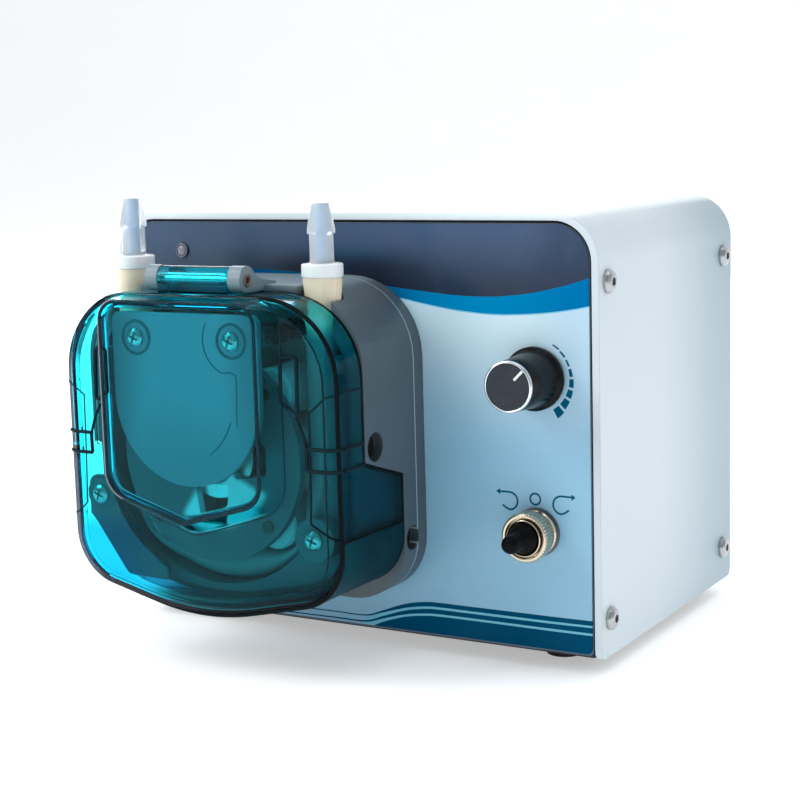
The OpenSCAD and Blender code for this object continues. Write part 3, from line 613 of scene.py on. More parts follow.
def teal(name, tint=(0.93, 0.985, 0.99, 1)):
    """Clear teal polycarbonate: the colour comes partly from how much plastic the light crosses and partly from a tint
    painted by position: painted shade on the bottom, the right side, the walls and the boss's left, and a stronger cyan
    at the lower left.
    """
    m = Mat(name)
    x, y, z = m.axis(0), m.axis(1), m.axis(2)
    along = m.ramp(x, HX - 34, HX - 14, 0, 1, True)
    # painted shade: darker tint at the bottom right and on the right side wall
    low = m.math("MULTIPLY", m.ramp(z, 34, 20, 0, 1, True), m.ramp(x, HX + 12, HX + 40, 0, 1, True))
    side = m.ramp(x, HX + 50.2, HX + 51.6, 0, 1, True)
    cloud = m.ramp(m.noise(30, 2, 0.4), 0.3, 0.7)
    col = m.mix(cloud, tint, (0.86, 0.97, 0.98, 1))
    col = m.mix(m.math("MAXIMUM", low, side), col, (0.3, 0.62, 0.7, 1))
    # painted shade: the walls behind the front face darken towards the bottom
    wall = m.math("MULTIPLY", m.ramp(y, -50.5, -48.5, 0, 1, True), along)
    col = m.mix(m.math("MULTIPLY", wall, m.ramp(z, 46, 30, 0, 1, True)), col, (0.1, 0.3, 0.34, 1))
    col = m.mix(m.math("MULTIPLY", wall, m.ramp(z, 27, 23, 0, 1, True)), col, (0.03, 0.08, 0.09, 1))
    # painted shade: darker tint on the boss's left wall
    left_wall = m.math("MULTIPLY", m.ramp(y, -53.3, -54.5, 0, 1, True), m.ramp(x, HX - 28, HX - 30.3, 0, 1, True))
    col = m.mix(left_wall, col, (0.2, 0.42, 0.5, 1))
    wedge = m.math("MULTIPLY", m.ramp(z, 47, 38, 0, 1, True), m.ramp(x, HX - 14, HX - 34, 0, 1, True))
    col = m.mix(wedge, col, (0.2, 0.72, 0.92, 1))
    swirl = m.noise(26, 2, 0.4, None, 0.3)
    rgh = m.ramp(m.noise(13, 4, 0.6), 0.35, 0.8, 0.0, 0.008)
    m.set(color=col, rough=rgh, trans=1.0, ior=1.17, normal=m.bump(swirl, 0.02, 0.3))
    v = m.node("ShaderNodeVolumeAbsorption")
    v.inputs["Color"].default_value = (0.0, 0.93, 0.97, 1)
    v.inputs["Density"].default_value = 620.0
    m.link(v.outputs["Volume"], m.o.inputs["Volume"])
    return m.m


def cup_corner_painted_shade():
    """Painted shade: an opaque dark teal for the outside of the cup's lower right corner, where it reads as nearly
    opaque.
    """
    m = Mat("teal_painted_shade")
    y, z = m.axis(1), m.axis(2)
    cloud = m.ramp(m.noise(12, 4, 0.6), 0.3, 0.7)
    col = m.mix(cloud, lin(2, 40, 52), lin(6, 50, 62))
    col = m.mix(m.ramp(y, -30, -50, 0, 0.6, True), col, lin(10, 66, 78))
    m.set(color=col, rough=m.ramp(m.noise(9, 4, 0.6), 0.3, 0.7, 0.5, 0.62), spec=0.05, normal=m.bump(m.noise(0.8, 2, 0.5), 0.002))
    return m.m


M["teal_painted_shade"] = cup_corner_painted_shade()
M["teal_clear_plastic"] = teal("teal_clear_plastic")
# painted shade: the three dark bead colours stand in for the dark the clear plastic shows along its edges and lines;
# the grey bead colour is a painted highlight
M["teal_edge"] = surface("teal_edge", lin(3, 14, 19), rough=0.6, var=0.25, mottle=10, grain=0.5, depth=0.002, spec=0.08)
M["teal_line"] = surface("teal_line", lin(14, 38, 46), rough=0.6, var=0.15, mottle=10, grain=0.5, depth=0.002, spec=0.08)
M["teal_boss"] = surface("teal_boss", lin(10, 50, 62), rough=0.55, var=0.15, mottle=10, grain=0.5, depth=0.002, spec=0.1)
M["boss_painted_highlight"] = surface("boss_painted_highlight", lin(150, 150, 160), rough=0.4, var=0.08, mottle=6, grain=0.5, depth=0.002, spec=0.2)


def rotor_face():
    """Dark front disc with one light sector for the direction of turning."""
    m = Mat("rotor_face")
    x, z = m.axis(0), m.axis(2)
    u, w = m.math("SUBTRACT", x, HX), m.math("SUBTRACT", z, RZ)
    rad = m.math("SQRT", m.math("ADD", m.math("MULTIPLY", u, u), m.math("MULTIPLY", w, w)))
    e1 = m.math("ADD", m.math("MULTIPLY", u, 0.82), m.math("MULTIPLY", w, -0.572))
    e2 = m.math("ADD", m.math("MULTIPLY", u, -0.42), m.math("MULTIPLY", w, -0.908))
    k = m.math("MULTIPLY", m.ramp(e1, 0.0, 3.0, 0, 1, True), m.ramp(e2, 0.0, 3.0, 0, 1, True))
    k = m.math("MULTIPLY", k, m.math("MULTIPLY", m.ramp(rad, 8.5, 10.0, 0, 1, True), m.ramp(rad, 24.5, 21.0, 0, 1, True)))
    fine = m.noise(0.6, 3, 0.6)
    dark = m.mix(m.ramp(m.noise(14, 4, 0.6), 0.3, 0.7), lin(66, 88, 98), lin(78, 100, 110))
    lite = m.mix(m.ramp(m.noise(7, 4, 0.6), 0.3, 0.7), lin(212, 238, 244), lin(236, 250, 252))
    m.set(color=m.mix(k, dark, lite), rough=m.ramp(m.noise(9, 4, 0.6), 0.25, 0.75, 0.42, 0.55), spec=0.3, normal=m.bump(fine, 0.004, 1.0, m.rounded(0.35)))
    return m.m


M["rotor_face"] = rotor_face()


def tube_mat():
    m = Mat("tube_elastomer")
    soft = m.noise(7, 4, 0.6)
    fine = m.noise(0.35, 3, 0.6)
    streak = m.noise(1.2, 3, 0.5, m.stretch(1, 1, 0.06))
    col = m.mix(m.ramp(soft, 0.3, 0.7), lin(252, 228, 198), lin(255, 240, 218))
    col = m.mix(m.ramp(streak, 0.35, 0.75, 0, 0.2), col, lin(226, 196, 162))
    # painted shade: below the head's top the tube is tinted a dark grey-teal, standing in for the shade it lies in
    # inside the head
    col = m.mix(m.ramp(m.axis(2), 109, 102, 0, 1, True), col, lin(118, 142, 150))
    m.set(color=col, rough=m.ramp(m.noise(3, 4, 0.6), 0.3, 0.7, 0.42, 0.58), normal=m.bump(m.math("ADD", fine, m.math("MULTIPLY", streak, 1.2)), 0.02),
          sss=0.35, sss_scale=0.004, sss_radius=(1.0, 0.55, 0.3), spec=0.4)
    return m.m


M["tube_elastomer"] = tube_mat()


def barb_mat():
    m = Mat("barb_plastic")
    cloud = m.noise(4, 4, 0.6)
    fine = m.noise(0.3, 3, 0.6)
    col = m.mix(m.ramp(cloud, 0.3, 0.7), lin(244, 250, 254), lin(252, 254, 255))
    m.set(color=col, rough=m.ramp(m.noise(2.2, 4, 0.6), 0.3, 0.7, 0.08, 0.2), trans=0.55, ior=1.3, normal=m.bump(fine, 0.004))
    c = Mat("barb_collar")
    cc = c.mix(c.ramp(c.noise(4, 4, 0.6), 0.3, 0.7), lin(236, 246, 252), lin(248, 252, 254))
    c.set(color=cc, rough=c.ramp(c.noise(2.2, 4, 0.6), 0.3, 0.7, 0.16, 0.28), sss=0.3, sss_scale=0.003, normal=c.bump(c.noise(0.3, 3, 0.6), 0.004))
    b = Mat("barb_bore")
    soft = b.noise(3, 3, 0.6)
    colb = b.mix(b.ramp(soft, 0.3, 0.7), lin(78, 174, 240), lin(132, 208, 250))
    b.set(color=colb, rough=b.ramp(b.noise(1.5, 3, 0.6), 0.3, 0.7, 0.2, 0.34), normal=b.bump(soft, 0.02), spec=0.4)
    return m.m, b.m, c.m


M["barb_plastic"], M["barb_bore"], M["barb_collar"] = barb_mat()


def knob_mats():
    m = Mat("knob_black")
    fine = m.noise(0.3, 3, 0.6)
    col = m.mix(m.ramp(m.noise(6, 4, 0.6), 0.3, 0.7), lin(9, 11, 13), lin(15, 18, 21))
    m.set(color=col, rough=m.ramp(m.noise(5, 5, 0.65), 0.3, 0.75, 0.2, 0.3), normal=m.bump(fine, 0.002), spec=0.12)
    f = Mat("knob_face")
    r = f.noise(0.25, 3, 0.6)
    colf = f.mix(f.ramp(f.noise(5, 4, 0.6), 0.3, 0.7), lin(36, 43, 50), lin(46, 54, 62))
    f.set(color=colf, rough=f.ramp(f.noise(4), 0.3, 0.7, 0.3, 0.42), normal=f.bump(r, 0.006), spec=0.25)
    return m.m, f.m


M["knob_black"], M["knob_face"] = knob_mats()
M["knob_chrome"] = brushed("knob_chrome", lin(222, 226, 230), rough=0.14, stretch=(1, 0.2, 1), depth=0.002, round_mm=0.1)
M["pointer_white"] = surface("pointer_white", lin(236, 238, 240), rough=0.4, var=0.03, mottle=3, grain=0.2, depth=0.006)
M["champagne_nickel"] = brushed("champagne_nickel", lin(214, 200, 178), rough=0.2, stretch=(1, 0.3, 1), depth=0.004, var=0.1, round_mm=0.08)
M["boot_rubber"] = surface("boot_rubber", lin(4, 6, 8), rough=0.45, var=0.15, mottle=4, grain=0.3, depth=0.004, spec=0.08)


# ------------------------------------------------------------------ carried-over CAD nodes
node_slot = {s["node"]: s["material_slot"] for s in frame["record"]["subparts"]}
for name, obj in NODES.items():
    s = node_slot[name]
    mat = M.get({"guard_plate": "guard_grey", "rotor_front_disc": "rotor_face", "roller_pins": "motor_black"}.get(name, s)) or M["film_blue"]
    obj.data.materials.clear()
    obj.data.materials.append(mat)
    obj.data.polygons.foreach_set("material_index", [0] * len(obj.data.polygons))


def soften(node, width, angle=32, segments=2):
    o = NODES[node]
    w = o.modifiers.new("weld", "WELD")
    w.merge_threshold = 2e-6
    b = o.modifiers.new("bevel", "BEVEL")
    b.width, b.segments, b.limit_method, b.angle_limit = width / 1000, segments, "ANGLE", math.radians(angle)
    b.harden_normals = False
    b.use_clamp_overlap = True
    o.modifiers.new("normals", "WEIGHTED_NORMAL").keep_sharp = True


# ------------------------------------------------------------------ the printed front film
def curve_pts(pts, n=10):
    """A smooth line through points, by Catmull-Rom in x."""
    p = np.array(pts, float)
    out = []
    for i in range(len(p) - 1):
        p0, p1, p2, p3 = p[max(i - 1, 0)], p[i], p[i + 1], p[min(i + 2, len(p) - 1)]
        for k in range(n):
            t = k / n
            out.append(tuple(0.5 * ((2 * p1) + (-p0 + p2) * t + (2 * p0 - 5 * p1 + 4 * p2 - p3) * t * t + (-p0 + 3 * p1 - 3 * p2 + p3) * t ** 3)))
    out.append(tuple(p[-1]))
    return out


INSET_P = 3.55
XL, XR, ZB, ZT = -W / 2 + INSET_P, W / 2 - INSET_P, 1.7, HGT - INSET_P
RB = 15 - INSET_P
PANEL = rpoly([(XL, ZB, 2), (XR, ZB, 2), (XR, ZT, RB), (XL, ZT, RB)], 14)
navy_c = curve_pts([(-95, 119.0), (-60, 120.2), (-48, 120.7), (-34.4, 120.9), (-16.8, 120.1), (0, 118.4), (18, 116.15), (26, 115.3), (33.6, 114.56), (39.9, 114.0), (46.7, 113.66), (53.5, 113.68), (59.1, 113.97), (69, 115.21), (78.3, 117.24), (83.1, 118.57), (88.4, 120.23), (95, 122.5)])
swoosh_c = curve_pts([(-95, 117.6), (-60, 118.6), (-34.4, 118.8), (-16.8, 117.4), (0, 115.6), (22, 112.53), (27.6, 111.49), (33.4, 110.5), (42, 109.25), (51.2, 108.46), (56.8, 108.3), (61.8, 108.38), (71.7, 109.04), (80.8, 110.2), (88.65, 111.74), (95, 113.4)])
glow_c = [(x, z - 0.42) for x, z in swoosh_c]
wave1 = curve_pts([(-95, 4.8), (-40, 4.9), (-17.4, 4.94), (-5.9, 5.0), (5.1, 5.14), (11.9, 7.36), (18.3, 9.78), (23, 11.17), (28.5, 12.1), (33.1, 12.39), (44.4, 12.42), (59.2, 12.5), (73.6, 12.55), (88, 12.7), (95, 12.8)])
wave2 = curve_pts([(-95, 4.3), (-40, 4.4), (-17.4, 4.5), (-5.9, 4.6), (5.1, 4.66), (11.9, 6.58), (18.3, 8.52), (23, 9.7), (28.5, 10.58), (33.1, 10.82), (44.4, 10.88), (59.2, 10.92), (73.6, 10.95), (88, 11.12), (95, 11.2)])
wave3 = curve_pts([(-95, 2.5), (-40, 2.6), (-17.5, 2.76), (-5.9, 2.92), (5, 3.14), (11.9, 5.37), (18.3, 7.6), (23, 8.86), (28.4, 9.75), (33, 10.03), (44.4, 10.08), (59.2, 10.12), (73.6, 10.2), (88, 10.45), (95, 10.5)])
wave4 = curve_pts([(-95, 2.0), (-40, 2.1), (-17.5, 2.32), (-6, 2.42), (5, 2.52), (11.8, 4.45), (18.2, 6.34), (22.9, 7.39), (28.4, 8.15), (33, 8.45), (44.4, 8.54), (59.2, 8.55), (73.6, 8.56), (88, 8.62), (95, 8.7)])
wave5 = curve_pts([(-95, -3), (-40, -2.6), (0, -1.8), (7.8, 1.5), (11.8, 3.32), (18.2, 5.49), (22.9, 6.61), (28.4, 7.38), (33, 7.68), (44.3, 7.79), (59.1, 7.8), (73.6, 7.78), (88, 7.88), (95, 7.95)])


def interp(c, x):
    a = np.array(c)
    return float(np.interp(x, a[:, 0], a[:, 1]))


def tick_polys():
    """Eight wedges that grow round the knob, as a speed scale."""
    out = []
    for r0, r1, a0, a1 in ((11.8, 12.35, 28, 40), (11.55, 12.25, 43, 55), (11.5, 12.2, 58.5, 69.5), (11.3, 12.45, 73.5, 85.5),
                           (11.2, 12.8, 89, 101.6), (11.1, 13.1, 105.5, 117.5), (11.1, 13.5, 121, 134.3), (11.1, 14.3, 138, 150)):
        n, w0 = 6, max((r1 - r0) * 0.9, 0.5)
        grow = lambda k: r1 - (r1 - r0) * 0.12 * (1 - k / n)
        pts = [(KX + r0 * math.sin(math.radians(a0 + (a1 - a0) * k / n)), KZ + r0 * math.cos(math.radians(a0 + (a1 - a0) * k / n))) for k in range(n + 1)]
        pts += [(KX + grow(k) * math.sin(math.radians(a0 + (a1 - a0) * k / n)), KZ + grow(k) * math.cos(math.radians(a0 + (a1 - a0) * k / n))) for k in range(n, -1, -1)]
        out.append(pts)
    return out


def stroke(line, w):
    p = [np.array(a, float) for a in line]
    left, right = [], []
    for i in range(len(p)):
        t = unit(p[min(i + 1, len(p) - 1)] - p[max(i - 1, 0)])
        nrm = np.array([-t[1], t[0]])
        left.append(tuple(p[i] + nrm * w / 2))
        right.append(tuple(p[i] - nrm * w / 2))
    return left + right[::-1]


def through(a, b, c, n=14):
    """Points on the circle through three points, from a past b to c."""
    ax, ay, bx, by, cx, cy = *a, *b, *c
    d = 2 * (ax * (by - cy) + bx * (cy - ay) + cx * (ay - by))
    ux = ((ax ** 2 + ay ** 2) * (by - cy) + (bx ** 2 + by ** 2) * (cy - ay) + (cx ** 2 + cy ** 2) * (ay - by)) / d
    uy = ((ax ** 2 + ay ** 2) * (cx - bx) + (bx ** 2 + by ** 2) * (ax - cx) + (cx ** 2 + cy ** 2) * (bx - ax)) / d
    r = math.hypot(ax - ux, ay - uy)
    t = [math.atan2(y - uy, x - ux) for x, y in (a, b, c)]
    ccw = (t[1] - t[0]) % (2 * math.pi) < (t[2] - t[0]) % (2 * math.pi)
    total = (t[2] - t[0]) % (2 * math.pi)
    if not ccw:
        total -= 2 * math.pi
    return [(ux + r * math.cos(t[0] + total * k / n), uy + r * math.sin(t[0] + total * k / n)) for k in range(n + 1)]


def icon_polys():
    T = lambda p: (TX + 1.65 + p[0], TZ + 1.0 + p[1])
    out = []
    left = [(-11.9, 11.12)] + through((-11.0, 11.1), (-8.35, 8.4), (-11.02, 5.42)) + [(-12.3, 5.9), (-13.7, 6.81)]
    out.append([T(p) for p in stroke([(-14.6, 11.07)] + left, 0.62)])
    out.append([T(p) for p in ((-15.9, 11.07), (-14.42, 10.05), (-14.5, 12.05))])
    right = [(7.1, 11.12)] + through((6.5, 11.1), (4.0, 8.3), (6.9, 5.42)) + [(8.2, 5.95), (9.4, 6.88)]
    out.append([T(p) for p in stroke([(10.4, 11.08)] + right, 0.62)])
    out.append([T(p) for p in ((11.75, 11.1), (10.3, 9.98), (10.33, 12.0))])
    return out


def ring_poly(cx, cz, r, n=32):
    return [(cx + r * math.cos(2 * math.pi * k / n), cz + r * math.sin(2 * math.pi * k / n)) for k in range(n)]


def inside(poly, x, z):
    c = False
    n = len(poly)
    for i in range(n):
        (x1, z1), (x2, z2) = poly[i], poly[(i + 1) % n]
        if (z1 > z) != (z2 > z) and x < (x2 - x1) * (z - z1) / (z2 - z1) + x1:
            c = not c
    return c


def build_film():
    pts, edges = [], []

    def loop(poly):
        b = len(pts)
        pts.extend(poly)
        edges.extend((b + i, b + (i + 1) % len(poly)) for i in range(len(poly)))

    def line(poly):
        keep = [p for p in poly if XL - 3 <= p[0] <= XR + 3]
        b = len(pts)
        pts.extend(keep)
        edges.extend((b + i, b + i + 1) for i in range(len(keep) - 1))

    loop(PANEL)
    holes = [ring_poly(KX, KZ, 4.6, 40), ring_poly(TX, TZ, 6.1, 48), ring_poly(LX, LZ, 2.6, 40), ring_poly(HX, RZ, 19.5, 64)]
    for a in (-1, 1):
        for b in (-1, 1):
            holes.append(ring_poly(HX + a * 23.57, RZ + b * 23.57, 2.6, 24))
    prints = tick_polys() + icon_polys()
    ring_o, ring_i = ring_poly(TX - 0.51, TZ + 10.52, 2.08), ring_poly(TX - 0.51, TZ + 10.52, 1.46)
    for h in holes + prints + [ring_o, ring_i]:
        loop(h)
    for c in (navy_c, swoosh_c, glow_c, wave1, wave2, wave3, wave4, wave5):
        line(c)
    res = delaunay_2d_cdt([Vector(p) for p in pts], edges, [], 0, 1e-5)
    vs, tris = [tuple(v) for v in res[0]], res[2]
    used, faces, mats = {}, [], []
    for t in tris:
        cx, cz = sum(vs[i][0] for i in t) / len(t), sum(vs[i][1] for i in t) / len(t)
        if not inside(PANEL, cx, cz) or any(inside(h, cx, cz) for h in holes):
            continue
        if any(inside(p, cx, cz) for p in prints) or (inside(ring_o, cx, cz) and not inside(ring_i, cx, cz)):
            k = 6
        elif cz > interp(navy_c, cx):
            k = 1
        elif cz > interp(swoosh_c, cx):
            k = 2
        elif cz > interp(glow_c, cx):
            k = 5
        elif cz > interp(wave1, cx):
            k = 0
        elif cz > interp(wave2, cx):
            k = 3
        elif cz > interp(wave3, cx):
            k = 4 if cx > 5 else 0
        elif cz > interp(wave4, cx):
            k = 3
        elif cz > interp(wave5, cx):
            k = 4 if cx > 5 else 0
        else:
            k = 3
        faces.append(t)
        mats.append(k)
    return vs, faces, mats


FILM_MATS = [M["film_blue"], M["film_navy"], M["film_swoosh"], M["film_dark"], M["film_line"], M["film_glow"], M["film_print"]]
vs, tris, kinds = build_film()
me = bpy.data.meshes.new("front_film")
bm = bmesh.new()
front = [bm.verts.new(P(x, 0.6, z)) for x, z in vs]
for t, k in zip(tris, kinds):
    f = bm.faces.new([front[i] for i in t])
    f.material_index = k
bmesh.ops.delete(bm, geom=[v for v in bm.verts if not v.link_faces], context="VERTS")
bmesh.ops.recalc_face_normals(bm, faces=bm.faces)
bm.normal_update()
if sum(f.normal.y for f in bm.faces) > 0:
    bmesh.ops.reverse_faces(bm, faces=bm.faces)
rim = [e for e in bm.edges if e.is_boundary]
ext = bmesh.ops.extrude_edge_only(bm, edges=rim)
for v in ext["geom"]:
    if isinstance(v, bmesh.types.BMVert):
        v.co.y = P(0, 0.9, 0).y
bm.to_mesh(me)
bm.free()
film_obj = bpy.data.objects.new("front_film", me)
scene.collection.objects.link(film_obj)
for m_ in FILM_MATS:
    me.materials.append(m_)
finish_mesh(film_obj, 30)
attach(film_obj, "housing")
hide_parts("front_overlay")

# ------------------------------------------------------------------ cover
SIDE_Z = [42.6, 44, 48, 52, 55, 57.5, 59.3, 61.2, 63, 64.8, 67, 70, 74, 78, 82, 86, 89]


def smooth01(a, b, v):
    t = min(max((v - a) / (b - a), 0.0), 1.0)
    return t * t * (3 - 2 * t)


def cv(u, y, z):
    """A point of the cup: its front leans slightly to the right of the rotor axis."""
    if u > 0:
        return HP(u + 1.3 * smooth01(24, 50, u), y, z)
    return HP(u + 1.4 * smooth01(24, 48, -u) * smooth01(41, 47, -y), y, z)


def cover_ring(t, y=None, dy=0.0, n=14):
    pts = rpoly(inset(COVER, t, 1.0), n)
    k = n + 1
    x = 52 - t
    right = [(x, z) for z in SIDE_Z]
    left = [(-x, z) for z in reversed(SIDE_Z)]
    pts = pts[:3 * k] + right + pts[3 * k:5 * k] + left
    if y is None:
        return [cv(px, rim_y(pz) + dy, pz) for px, pz in pts]
    return [cv(px, y, pz) for px, pz in pts]


def rim_y(z):
    return float(np.interp(z, [57.5, 64.8], [-14.0, -37.0]))


def build_cover():
    outer = [(0.0, -50.0), (0.12, -50.55), (0.4, -50.95), (0.85, -51.25), (1.9, -51.85), (2.9, -52.45), (3.4, -52.75), (3.8, -52.93), (4.4, -53.0)]
    inner = [(6.6, -51.0), (5.9, -50.9), (5.3, -50.65), (4.4, -50.2), (3.3, -49.55), (2.6, -49.1), (2.2, -48.6), (2.0, -48.0)]
    rings = [cover_ring(t, y) for t, y in reversed(outer)]
    rings += [cover_ring(0, None, -0.25), cover_ring(0.25), cover_ring(1.75), cover_ring(2, None, -0.25)]
    rings += [cover_ring(t, y) for t, y in reversed(inner)]
    v, f = loft(rings)
    cup = raw_object("cover_shell", v, f)

    def boss(t, ys, extra):
        rings = []
        for y, s in ys:
            pts = []
            for (x0, z0, r0), (x1, z1, r1) in zip(BOSS_BASE, BOSS_TOP):
                pts.append((x0 + (x1 - x0) * s, z0 + (z1 - z0) * s, r0 + (r1 - r0) * s))
            rings.append([HP(a, y, b) for a, b in rpoly(inset(pts, t + extra.get(y, 0), 1.2), 12)])
        return rings

    v, f = loft(boss(0, [(-51.6, 0), (-53.0, 0), (-53.35, 0.14), (-54.0, 0.28), (-58.6, 0.94), (-59.3, 0.99), (-59.8, 1), (-60, 1)],
                     {-51.6: 0, -53.0: -0.5, -53.35: -0.1, -59.3: 0.1, -59.8: 0.45, -60: 1.1}))
    cup = boolean(cup, raw_object("boss_o", v, f), "UNION")
    v, f = loft(boss(2.0, [(-49.5, 0), (-51.2, 0), (-52.4, 0.28), (-57.0, 0.94), (-57.7, 1), (-58.1, 1)], {-49.5: -0.4, -57.7: 0.2, -58.1: 0.9}))
    cup = boolean(cup, raw_object("boss_i", v, f), "DIFFERENCE")
    # the hinge barrel and the web under it
    sect = [(HY + 4.3 * math.cos(math.radians(a)), HZ + 4.3 * math.sin(math.radians(a))) for a in range(-8, 189, 7)]
    sect += [(HY - 4.2, 119.2), (HY - 4.0, 116.2), (HY + 3.9, 116.2), (HY + 4.1, 119.0)]
    ring = lambda u, k: [HP(u, HY + (y - HY) * k, HZ + (z - HZ) * k) for y, z in sect]
    v, f = loft([ring(-13.2, 0.93), ring(-12.9, 0.985), ring(-12.5, 1), ring(12.5, 1), ring(12.9, 0.985), ring(13.2, 0.93)])
    cup = boolean(cup, raw_object("barrel", v, f), "UNION")
    hole = [[HP(u, HY + 1.6 * math.cos(math.radians(a)), HZ + 1.6 * math.sin(math.radians(a))) for a in range(0, 360, 12)] for u in (-15, 15)]
    v, f = loft(hole)
    cup = boolean(cup, raw_object("pinhole", v, f), "DIFFERENCE")
    return cup


cover = build_cover()
cover.data.materials.clear()
cover.data.materials.append(M["teal_clear_plastic"])
cover.data.polygons.foreach_set("material_index", [0] * len(cover.data.polygons))
finish_mesh(cover, 32)
cover.modifiers.new("normals", "WEIGHTED_NORMAL").keep_sharp = True
apply_modifiers(cover)
cover.data.materials.append(M["teal_painted_shade"])
# painted shade: the outward faces of the cup's lower right corner take the opaque dark teal
for pl in cover.data.polygons:
    c_ = cover.matrix_world @ pl.center
    cu, cy_, cz_ = (c_.x - X0) * 1000 - HX, (c_.y - Y0) * 1000, (c_.z - Z0) * 1000
    n_ = cover.matrix_world.to_3x3() @ pl.normal
    if cu > 30 and cz_ < 42.6 and cy_ > -50.2 and n_.x + max(-n_.z, 0) > 0.4:
        pl.material_index = 1
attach(cover, "cover")
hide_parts("head_cover")

# moulded lines of the cover: edges, two bands and the outlines of the grip, drawn as dark beads whose dark is painted
# shade for what the thick clear plastic shows along them
parts = []
def tapered(ring, thin, thick, u0=-26.0, u1=8.0):
    """A bead that is thin at the left of the head and full at the right."""
    out = []
    for q in ring:
        t = min(max(((q.x - X0) * 1000 - HX - u0) / (u1 - u0), 0), 1)
        out.append(thin + (thick - thin) * t * t * (3 - 2 * t))
    return out


dark, fine, boss = [], [], []
edge_ring = cover_ring(0.5, -50.9)
dark.append(sweep_tube(edge_ring, tapered(edge_ring, 0.14, 0.7), 10, closed=True))
edge_ring = cover_ring(4.1, -52.92)
fine.append(sweep_tube(edge_ring, tapered(edge_ring, 0.12, 0.26), 8, closed=True))
edge_ring = cover_ring(0.4, None, -0.1)
dark.append(sweep_tube(edge_ring, tapered(edge_ring, 0.2, 0.5), 10, closed=True))
top_ring = [(a, b) for a, b in rpoly(inset(BOSS_TOP, 0.7), 12)]
# painted shade: the boss rim bead is widened towards its lower right
wide = [0.5 + 0.28 * smooth01(66, 52, b) * smooth01(-24, 0, a) for a, b in top_ring]
boss.append(sweep_tube([HP(a, -59.2, b) for a, b in top_ring], wide, 12, closed=True))
boss.append(sweep_tube([HP(a, -53.0, b) for a, b in rpoly(inset(BOSS_BASE, 0.1), 12)], 0.24, 8, closed=True))
# painted highlight: the light line on the outside of the boss, down its left and along its top
ring = [(a, b) for a, b in rpoly(inset(BOSS_TOP, 0.02), 24)]
lit = [q for q in ring if q[0] < -3 and not (q[1] > 115.9 and q[0] > -20)]
start = max(range(len(lit)), key=lambda i: (Vector(lit[i]) - Vector(lit[i - 1])).length)
lit = lit[start:] + lit[:start]
gloss = [sweep_tube([HP(a, -59.35, b) for a, b in lit], 0.24, 8)]


def front_path(s, pts):
    """A line on the cup: points on the front face, the chamfer and the side wall of side s."""
    out = []
    for (u0, y0, z0), (u1, y1, z1) in zip(pts, pts[1:]):
        for k in range(6):
            f = k / 6
            out.append(cv(s * (u0 + (u1 - u0) * f), y0 + (y1 - y0) * f, z0 + (z1 - z0) * f))
    u0, y0, z0 = pts[-1]
    return out + [cv(s * u0, y0, z0)]


F = -52.98
# right side; u is given before the lean of the cup is added
CH = [(48.3, -52.93), (48.7, -52.75), (49.2, -52.45), (50.2, -51.85), (51.2, -51.3), (51.65, -50.95), (51.9, -50.5), (52, -50.0)]
for z in (71.9, 65.2):
    fine.append(sweep_tube(front_path(1, [(41.8, F, z), (46, F, z), (47.8, F, z)] + [(a, b, z) for a, b in CH] + [(52, -44, z), (52, rim_y(z) - 0.4, z)]), 0.68, 10))
fine.append(sweep_tube(front_path(1, [(41.8, F, 71.9), (41.9, F, 65.2)]), 0.68, 10))
S_R = [(38.6, 81.6), (39.7, 78.8), (40.9, 75.7), (41.5, 72.6), (41.8, 69.4)]
fine.append(sweep_tube(front_path(1, [(a, F, b) for a, b in S_R]), 0.5, 10))
fine.append(sweep_tube(front_path(1, [(43.0, F, 83.0), (45, F, 84.7), (48.1, F, 87.5)] + [(a, b, 87.6 + 1.4 * k / 7) for k, (a, b) in enumerate(CH)] + [(52, -44, 89.0), (52, -37.2, 89.0)]), 0.36, 10))
fine.append(sweep_tube(front_path(1, [(43.0, F, 83.0), (42.8, F, 66), (42.4, F, 48.8)]), 0.36, 10))
dark.append(sweep_tube(front_path(1, [(42.4, F, 48.8), (45.5, F, 47.1), (48.1, F, 45.7)] + [(a, b, 45.6 - 2.4 * k / 7) for k, (a, b) in enumerate(CH)] + [(52, -33, 43.0), (52, -14.4, 42.6)]), 0.36, 10))
# left side: only the front carries the lines
for z in (71.8, 65.2):
    fine.append(sweep_tube(front_path(-1, [(41.5, F, z), (46, F, z), (47.8, F, z)] + [(a, b, z) for a, b in CH]), 0.58, 10))
fine.append(sweep_tube(front_path(-1, [(41.5, F, 71.8), (41.4, F, 65.2)]), 0.58, 10))
S_L = [(36.8, 81.3), (39.4, 77.1), (41.1, 72.6), (41.5, 69.4)]
fine.append(sweep_tube(front_path(-1, [(a, F, b) for a, b in S_L]), 0.45, 10))
fine.append(sweep_tube(front_path(-1, [(43.8, F, 84.1), (48.1, F, 86.9)] + [(a, b, 87.0 + 1.2 * k / 7) for k, (a, b) in enumerate(CH)]), 0.26, 8))
fine.append(sweep_tube(front_path(-1, [(43.8, F, 84.1), (44.2, F, 66), (44.8, F, 48.5)]), 0.24, 8))
fine.append(sweep_tube(front_path(-1, [(44.8, F, 48.5), (48.1, F, 45.6)] + [(a, b, 45.5 - 2.0 * k / 7) for k, (a, b) in enumerate(CH)]), 0.26, 8))
# the window beside the boss, with rounded corners
for s, q in ((1, [(34.3, 99.7, 1.0), (40.2, 99.9, 1.2), (39.9, 82.2, 0.9), (34.0, 85.8, 0.9)]), (-1, [(-31.6, 99.7, 1.0), (-36.9, 99.6, 1.0), (-37.6, 82.4, 0.9), (-31.6, 85.6, 0.9)])):
    ring = rpoly(q, 5)
    fine.append(sweep_tube([HP(a, F, b) for a, b in ring], 0.62, 10, closed=True))
groups = [joined(g) for g in (dark, fine, boss, gloss)]
v, f = joined(groups)
fm = []
for i, (gv, gf) in enumerate(groups):
    fm += [i] * len(gf)
add_mesh("cover_lines", v, f, M["teal_edge"], "cover", smooth=60, mats=[M["teal_edge"], M["teal_line"], M["teal_boss"], M["boss_painted_highlight"]], face_mats=fm)

